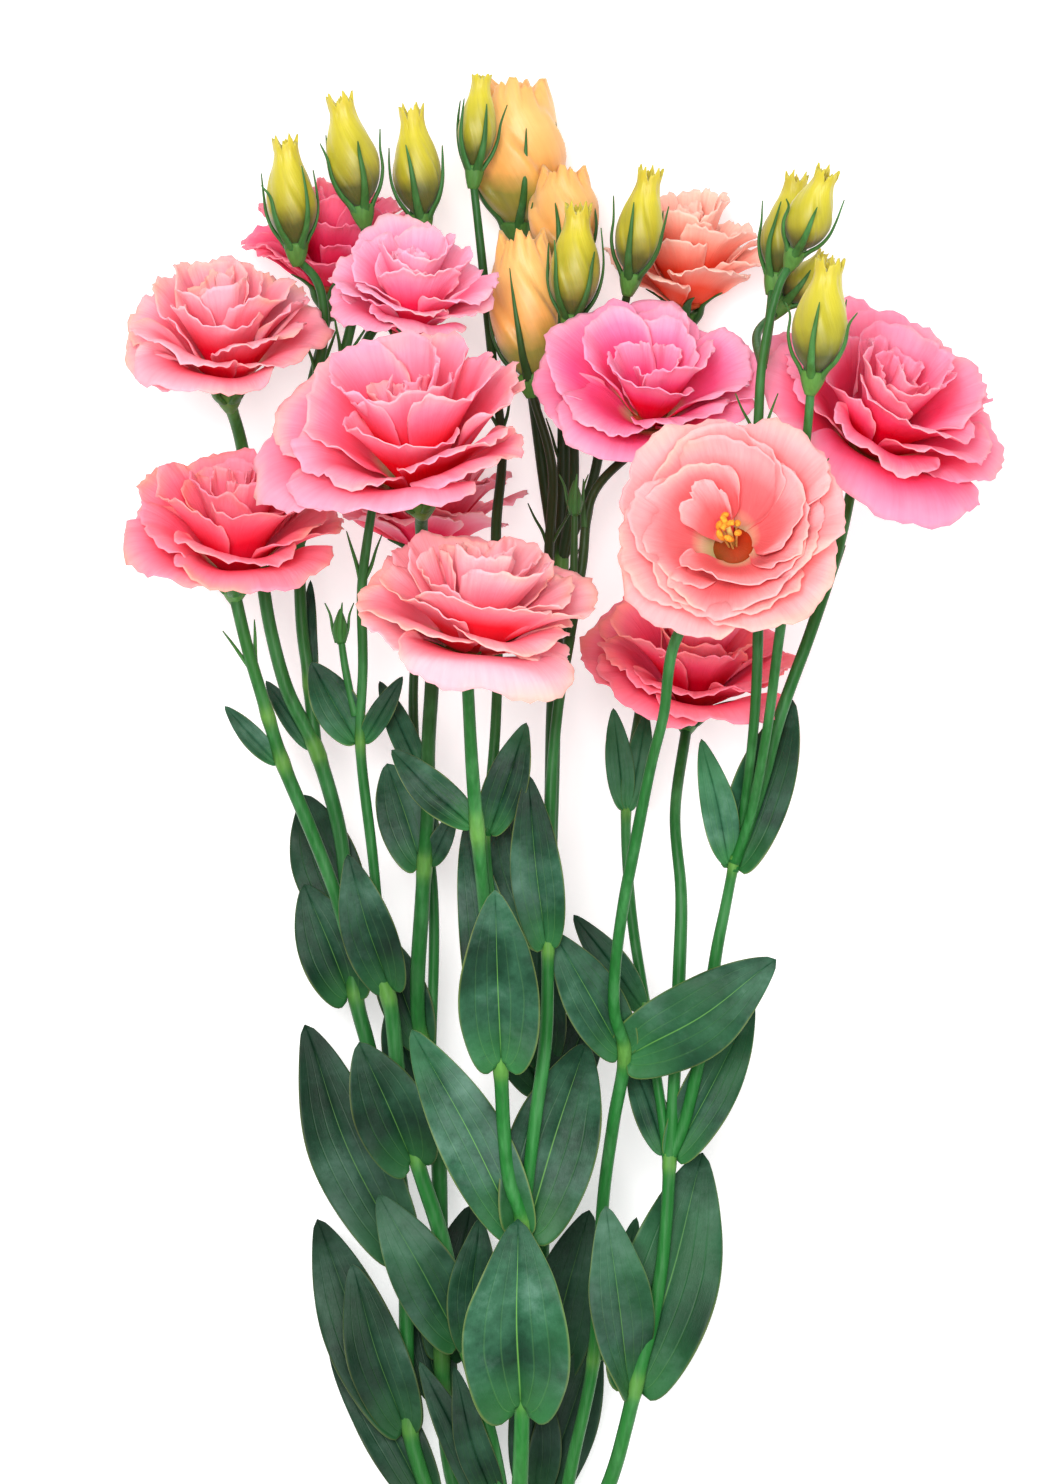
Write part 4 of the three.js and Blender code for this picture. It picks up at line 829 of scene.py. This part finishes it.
class Finish:
    """One material, with short calls for the nodes that the finishes use."""

    def __init__(self, name, roughness, **constants):
        self.material = bpy.data.materials.new(name)
        self.material.use_nodes = True
        self.tree = self.material.node_tree
        self.shader = self.tree.nodes["Principled BSDF"]
        self.shader.inputs["Roughness"].default_value = roughness
        for label, value in constants.items():
            self.shader.inputs[label.replace("_", " ")].default_value = value
        self.spot = self.add("ShaderNodeTexCoord").outputs["Object"]  # in metres

    def add(self, kind, inputs=(), **settings):
        node = self.tree.nodes.new(kind)
        for label, value in settings.items():
            setattr(node, label, value)
        for label, value in dict(inputs).items():
            if isinstance(value, bpy.types.NodeSocket):
                self.tree.links.new(value, node.inputs[label])
            else:
                node.inputs[label].default_value = value
        return node

    def math(self, operation, a, b=0.0, clamp=False):
        inputs = {0: a, 1: b}
        return self.add("ShaderNodeMath", inputs, operation=operation, use_clamp=clamp).outputs[0]

    def times(self, a, b, clamp=False):
        return self.math("MULTIPLY", a, b, clamp)

    def plus(self, a, b, clamp=False):
        return self.math("ADD", a, b, clamp)

    def less(self, a, b, clamp=False):
        return self.math("SUBTRACT", a, b, clamp)

    def above(self, value, start, slope):
        """How far the value is past the start, times the slope, held within 0 and 1."""
        return self.times(self.less(value, start), slope, clamp=True)

    def below(self, value, top, slope):
        """The top less the value times the slope, held within 0 and 1."""
        return self.less(top, self.times(value, slope), clamp=True)

    def swing(self, noise, amount):
        """A noise moved to lie about 0, times the amount."""
        return self.times(self.less(noise, 0.5), amount)

    def mixed(self, factor, a, b, blend="MIX"):
        inputs = {0: factor, 6: a, 7: b}
        return self.add("ShaderNodeMix", inputs, data_type="RGBA", blend_type=blend).outputs[2]

    def tinted(self, colour, tone, share, most):
        """The colour mixed with a tone, by the share times the most that it may be."""
        return self.mixed(self.times(share, most), colour, rgb(tone))

    def ramp(self, factor, *stops):
        node = self.add("ShaderNodeValToRGB", {0: factor})
        elements = node.color_ramp.elements
        while len(elements) < len(stops):
            elements.new(0.5)
        for element, (place, tone) in zip(elements, stops):
            element.position = place
            element.color = rgb(tone)
        return node.outputs[0]

    def noise(self, vector, scale, detail=3.0, roughness=0.5):
        inputs = {"Vector": vector, "Scale": scale, "Detail": detail, "Roughness": roughness}
        return self.add("ShaderNodeTexNoise", inputs).outputs[0]

    def scaled(self, vector, scale):
        return self.add("ShaderNodeMapping", {"Vector": vector, "Scale": scale}).outputs[0]

    def axis(self, k):
        """The spot's x, y or z."""
        return self.add("ShaderNodeSeparateXYZ", {0: self.spot}).outputs[k]

    def grid(self):
        """The grid place, across and along, as a vector and as its two numbers."""
        place = self.add("ShaderNodeUVMap", uv_map="grid").outputs[0]
        parts = self.add("ShaderNodeSeparateXYZ", {0: place})
        return place, parts.outputs[0], parts.outputs[1]

    def value(self, label):
        return self.add("ShaderNodeAttribute", attribute_name=label).outputs["Fac"]

    def bump(self, height, strength, distance, before=None):
        inputs = {"Height": height, "Strength": strength, "Distance": distance}
        if before is not None:
            inputs["Normal"] = before
        return self.add("ShaderNodeBump", inputs).outputs[0]

    def done(self, colour, normal):
        self.tree.links.new(colour, self.shader.inputs["Base Color"])
        self.tree.links.new(normal, self.shader.inputs["Normal"])
        return self.material


def petal_finish(name, hollow_shade, body, light, edge):
    """Petals: brown at the foot, a painted shadow round the stamens, then a deep colour that
    paints the shade and bounced light of the hollows, paler outwards, with fine veins that
    fan out from the foot, soft clouds, and a warm blush along the margin. The back is pale
    green-yellow at the foot."""
    f = Finish(name, 0.55, Specular_IOR_Level=0.12, Subsurface_Weight=0.3, Subsurface_Scale=0.003,
               Subsurface_Radius=(1.0, 0.55, 0.5))
    place, _, along = f.grid()
    level = f.plus(along, f.swing(f.noise(f.spot, 70.0), 0.22))
    level = f.plus(level, f.swing(f.value("tone"), 0.12))
    # Painted shade: the brown foot stands for the shadow round the stamens, and the deep colour
    # after it for shade and light bounced between the petals deep in the cup.
    front = f.ramp(level, (0.0, "7c4216"), (0.16, hollow_shade), (0.4, hollow_shade), (0.66, body),
                   (0.88, light))
    rear = f.ramp(level, (0.0, "c9cf86"), (0.14, "e8c8a0"), (0.28, body), (0.6, body),
                  (0.9, light))
    colour = f.mixed(f.times(f.value("back"), 0.8), front, rear)
    blotch = f.above(f.noise(f.spot, 45.0, 2.0), 0.42, 5.0)
    colour = f.tinted(colour, edge, blotch, f.above(along, 0.84, 5.0))
    veins = f.noise(f.scaled(place, (60.0, 2.2, 1.0)), 1.0, 4.0, 0.6)
    shade = f.ramp(veins, (0.3, (1.0, 0.72, 0.76)), (0.7, 1.0))
    colour = f.mixed(0.5, colour, shade, "MULTIPLY")
    normal = f.bump(veins, 0.35, 0.0006)
    return f.done(colour, f.bump(f.noise(f.spot, 260.0), 0.12, 0.0004, normal))


def bud_finish(name, foot, body, light, crown):
    """Furled petals: olive where the sepals hold them, then yellow-green or apricot, with
    streaks that run up and round, and the crown's own colour."""
    f = Finish(name, 0.45, Sheen_Weight=0.15, Subsurface_Weight=0.3, Subsurface_Scale=0.003,
               Subsurface_Radius=(1.0, 0.8, 0.4))
    _, across, along = f.grid()
    level = f.plus(along, f.swing(f.noise(f.spot, 110.0), 0.3))
    colour = f.ramp(level, (0.16, foot), (0.36, body), (0.7, light), (0.95, crown))
    twisted = f.add("ShaderNodeCombineXYZ", {
        0: f.plus(f.times(across, 30.0), f.times(along, 9.0)), 1: f.times(along, 2.0)})
    streaks = f.noise(twisted.outputs[0], 1.0, 4.0, 0.6)
    colour = f.mixed(0.7, colour, f.ramp(streaks, (0.3, 0.78), (0.7, 1.0)), "MULTIPLY")
    return f.done(colour, f.bump(streaks, 0.3, 0.0006))


def low_painted_shade(f):
    """Painted shade, by how low a place lies in the bunch: 1 at the table, 0 from 62 mm up.
    It darkens the low leaves and stalks, which the bunch above them shades."""
    return f.below(f.axis(2), 1.0, 16.0)


def stalk_finish():
    """Stalks: bright green, streaked along their length, yellow-green at their joints, paler
    at the cut ends, with painted shade that turns them brown green where they run up deep
    among the middle blooms and darkens them near the table."""
    f = Finish("green stalk", 0.42, Specular_IOR_Level=0.17)
    up = f.plus(f.axis(1), f.swing(f.noise(f.spot, 40.0), 0.06))
    level = f.times(f.plus(up, 0.235), 1 / 0.47)
    colour = f.ramp(level, (0.0, "86a45c"), (0.06, "4f8c46"), (0.3, "22782e"), (0.62, "22662a"),
                    (0.8, "36682b"), (1.0, "2c6230"))
    bloomy = f.above(f.noise(f.scaled(f.spot, (260.0, 60.0, 260.0)), 1.0, 4.0), 0.46, 2.2)
    colour = f.mixed(bloomy, colour, rgb("509457"))
    tone = f.value("tone")
    colour = f.tinted(colour, "84b850", tone, 0.8)
    streaks = f.noise(f.scaled(f.spot, (900.0, 30.0, 900.0)), 1.0, 3.0, 0.6)
    colour = f.mixed(0.7, colour, f.ramp(streaks, (0.3, 0.6), (0.7, 1.0)), "MULTIPLY")
    # Painted shade: a dark brown-green tint where the stalks run low among the middle blooms, away
    # from the joints.
    among = f.ramp(level, (0.6, 0.0), (0.7, 1.0), (0.84, 1.0), (0.92, 0.0))
    deep = f.times(f.below(f.axis(2), 2.6, 29.0), f.below(tone, 1.0, 2.4))
    deep = f.times(deep, f.below(f.math("ABSOLUTE", f.axis(0)), 3.2, 60.0))
    colour = f.tinted(colour, "232a12", among, deep)
    # Painted shade: near-black green towards the table, where the bunch shades the low stalks.
    colour = f.tinted(colour, "143a1a", low_painted_shade(f), 0.6)
    return f.done(colour, f.bump(streaks, 0.3, 0.0005))


def leaf_finish():
    """Leaves: waxy blue-green, light green near the foot and in patches, with silvery clouds
    of wax, dark scratches, a pale midrib that is widest at the foot, two arched veins on
    each side of it and a thin yellow-green margin. The back is greyer. Painted shade darkens
    the low leaves towards the table."""
    f = Finish("waxy leaf", 0.46, Specular_IOR_Level=0.2)
    place, across, along = f.grid()
    side = f.math("ABSOLUTE", f.less(f.times(across, 2.0), 1.0))
    cloud = f.noise(f.spot, 55.0, 6.0, 0.62)
    colour = f.ramp(cloud, (0.3, "0c2c1c"), (0.46, "1a4830"), (0.6, "34684b"), (0.74, "5e8c74"))
    wax = f.above(f.noise(f.spot, 30.0, 8.0, 0.7), 0.5, 5.0)
    colour = f.tinted(colour, "7c9c90", wax, 0.38)
    colour = f.tinted(colour, "3a8a42", f.below(along, 1.0, 3.0), 0.75)
    scratch = f.above(f.noise(f.scaled(place, (16.0, 70.0, 1.0)), 1.0, 5.0, 0.7), 0.6, 9.0)
    flecks = f.above(f.noise(f.spot, 260.0, 6.0, 0.7), 0.57, 8.0)
    marks = f.plus(f.times(scratch, 0.5), f.times(flecks, 0.5), clamp=True)
    colour = f.tinted(colour, "12382a", marks, 0.7)
    fine = f.noise(f.scaled(place, (150.0, 12.0, 1.0)), 1.0, 3.0, 0.6)
    colour = f.mixed(0.3, colour, f.ramp(fine, (0.3, 0.62), (0.7, 1.0)), "MULTIPLY")
    bend = f.swing(f.noise(f.spot, 50.0, 1.0), 0.12)
    veins = 0.0
    for arc in VEIN_ARCS:
        off = f.math("ABSOLUTE", f.less(f.plus(side, bend), arc))
        veins = f.plus(f.below(off, 1.0, 42.0), veins, clamp=True)
    veins = f.times(veins, f.less(1.05, along, clamp=True))
    colour = f.tinted(colour, "68a458", veins, 0.32)
    rib = f.below(side, 1.15, f.plus(9.0, f.times(along, 34.0)))
    colour = f.tinted(colour, "74b44e", rib, 0.85)
    colour = f.tinted(colour, "47735e", f.value("back"), 0.5)
    colour = f.tinted(colour, "8a9a4a", f.above(side, 0.965, 30.0), 0.55)
    fresh = f.above(f.noise(f.spot, 20.0, 2.0), 0.5, 5.0)
    colour = f.tinted(colour, "38824a", fresh, 0.45)
    shade = f.ramp(f.value("tone"), (0.0, 0.64), (1.0, 0.95))
    colour = f.mixed(1.0, colour, shade, "MULTIPLY")
    # Painted shade: darkest green towards the table, where the bunch shades the low leaves.
    colour = f.tinted(colour, "081c10", low_painted_shade(f), 0.88)
    height = f.plus(f.times(cloud, 0.6), f.times(fine, 0.25))
    normal = f.bump(f.less(height, veins), 0.3, 0.0011)
    return f.done(colour, f.bump(f.noise(f.spot, 900.0, 2.0), 0.15, 0.0003, normal))


def plain_finish(name, dark, light, roughness, scale, stretch=(1.0, 1.0, 1.0), **constants):
    """Two tones mixed by noise, with a matching bump."""
    f = Finish(name, roughness, **constants)
    grain = f.noise(f.scaled(f.spot, stretch), scale, 4.0, 0.6)
    return f.done(f.ramp(grain, (0.3, dark), (0.7, light)), f.bump(grain, 0.4, 0.0006))


# ---------------- the bunch
# name: painted shade of the hollows, colour of the body, near the margin, and of the margin's blush
PETAL_COLOURS = {
    "bloom_1": ("ff1038", "fd7e94", "ffaab8", "fdb498"),
    "bloom_2": ("d80c42", "ee4270", "f66c90", "f68c98"),
    "bloom_3": ("ff2c60", "ff7ba2", "ffaac6", "feb8b6"),
    "bloom_4": ("ff102c", "fd6c8a", "ff9cb4", "ffb6a6"),
    "bloom_5": ("fb1f44", "ff6480", "ff8ca0", "fca284"),
    "bloom_6": ("ff2c42", "ff8ea2", "ffb2bc", "ffb8a2"),
    "bloom_7": ("fc0040", "fc5c94", "ff96ba", "ffacc0"),
    "bloom_8": ("d81a0a", "f67a7e", "fda8aa", "fdb8a4"),
    "bloom_9": ("f60030", "fa4e7c", "ff8eac", "fea0a8"),
    "bloom_10": ("ee482a", "fb9c88", "ffc0b0", "ffceba"),
    "bloom_11": ("e60030", "f65074", "fc8094", "fc9484"),
    "bloom_12": ("ee184c", "fb728e", "ff9eb0", "feb2b0"),
}
PETAL_SLOTS = {"bloom_2": "rose_petal", "bloom_9": "rose_petal", "bloom_11": "rose_petal",
               "bloom_8": "peach_petal", "bloom_10": "peach_petal"}
stalk_green, leaf_green = stalk_finish(), leaf_finish()
# The finish and slot of a closed bud, then of a half-open one.
bud_looks = (
    (bud_finish("yellow-green bud", "4e5418", "a49c1c", "ccbf28", "c4b42e"), "green_bud"),
    (bud_finish("apricot bud", "86802c", "e6a452", "f4bc70", "f2ae5e"), "peach_bud"),
)

for order, name in enumerate(STEMS):
    stalks, blades = stem_parts(name, order, np.random.default_rng(100 + order))
    piece(name + "_stalks", stalks, stalk_green, "green", name)
    piece(name + "_leaves", blades, leaf_green, "green", name)
for order, name in enumerate(BLOOMS):
    finish = petal_finish(name + " petals", *PETAL_COLOURS[name])
    heap = bloom_petals(name, np.random.default_rng(200 + order))
    piece(name + "_petals", heap, finish, PETAL_SLOTS.get(name, "pink_petal"), name)
for order, name in enumerate(BUDS):
    heap = bud_skin(name, np.random.default_rng(300 + order))
    finish, slot = bud_looks[name.startswith("peach")]
    piece(name + "_petals", heap, finish, slot, name)
filaments, anthers = stamen_parts("bloom_8", np.random.default_rng(400))
piece("filaments", filaments, plain_finish("pale filament", "b9a54a", "d9cf7a", 0.5, 300.0),
      "stamen", "stamens")
piece("anthers", anthers, plain_finish("powdery anther", "c8781a", "f2b42c", 0.85, 1500.0),
      "stamen", "stamens")
straw = plain_finish("dry raffia", "a8895a", "dcc89a", 0.8, 60.0, (20.0, 90.0, 20.0))
piece("raffia_strands", raffia(np.random.default_rng(500)), straw, "raffia", "band")

# ---------------- table, light, camera
VIEW_MIDDLE, VIEW_HEIGHT = (0.0, 185.5, 70.0), 371.0  # what the picture is centred on and shows
VIEW_DISTANCE = 4.0  # metres
TABLE_HALF, TABLE_GAP = 6.0, 0.0003  # metres
SENSOR = 24
LIT = (0, 0.05, 0.05)  # what both lamps look at

table = bpy.data.meshes.new("table")
corners = [(x * TABLE_HALF, y * TABLE_HALF, 0) for x, y in ((-1, -1), (1, -1), (1, 1), (-1, 1))]
table.from_pydata(corners, [], [(0, 1, 2, 3)])
table.materials.append(plain_finish("white table", "e6e6e6", "eaeaea", 0.9, 3.0,
                                    Emission_Color=(1, 1, 1, 1), Emission_Strength=0.42))
floor = bpy.data.objects.new("table", table)
floor.location.z = -TABLE_GAP
bpy.context.scene.collection.objects.link(floor)


def lamp(name, place, size, power):
    """A square soft light at a place, turned to look at the bunch."""
    data = bpy.data.lights.new(name, "AREA")
    data.size = size
    data.energy = power
    light = bpy.data.objects.new(name, data)
    light.location = place
    way = np.subtract(LIT, place)
    light.rotation_euler = (math.atan2(math.hypot(way[0], way[1]), -way[2]),
                            0, math.atan2(way[1], way[0]) - math.pi / 2)
    bpy.context.scene.collection.objects.link(light)


lamp("key", (-0.3, 0.45, 2.35), 0.9, 52)
lamp("fill", (0.5, -0.8, 2.1), 1.6, 24)

world = bpy.data.worlds.new("studio")
world.use_nodes = True
sky = world.node_tree.nodes["Background"]
sky.inputs["Color"].default_value = (1, 1, 1, 1)
sky.inputs["Strength"].default_value = 0.5
bpy.context.scene.world = world

eye = bpy.data.cameras.new("camera")
eye.sensor_fit = "VERTICAL"
eye.sensor_height = SENSOR
eye.lens = SENSOR * VIEW_DISTANCE / (VIEW_HEIGHT * MM)
camera = bpy.data.objects.new("camera", eye)
camera.location = placed(np.array(VIEW_MIDDLE)) + [0, 0, VIEW_DISTANCE]
bpy.context.scene.collection.objects.link(camera)
bpy.context.scene.camera = camera
bpy.context.scene.view_settings.view_transform = "Standard"
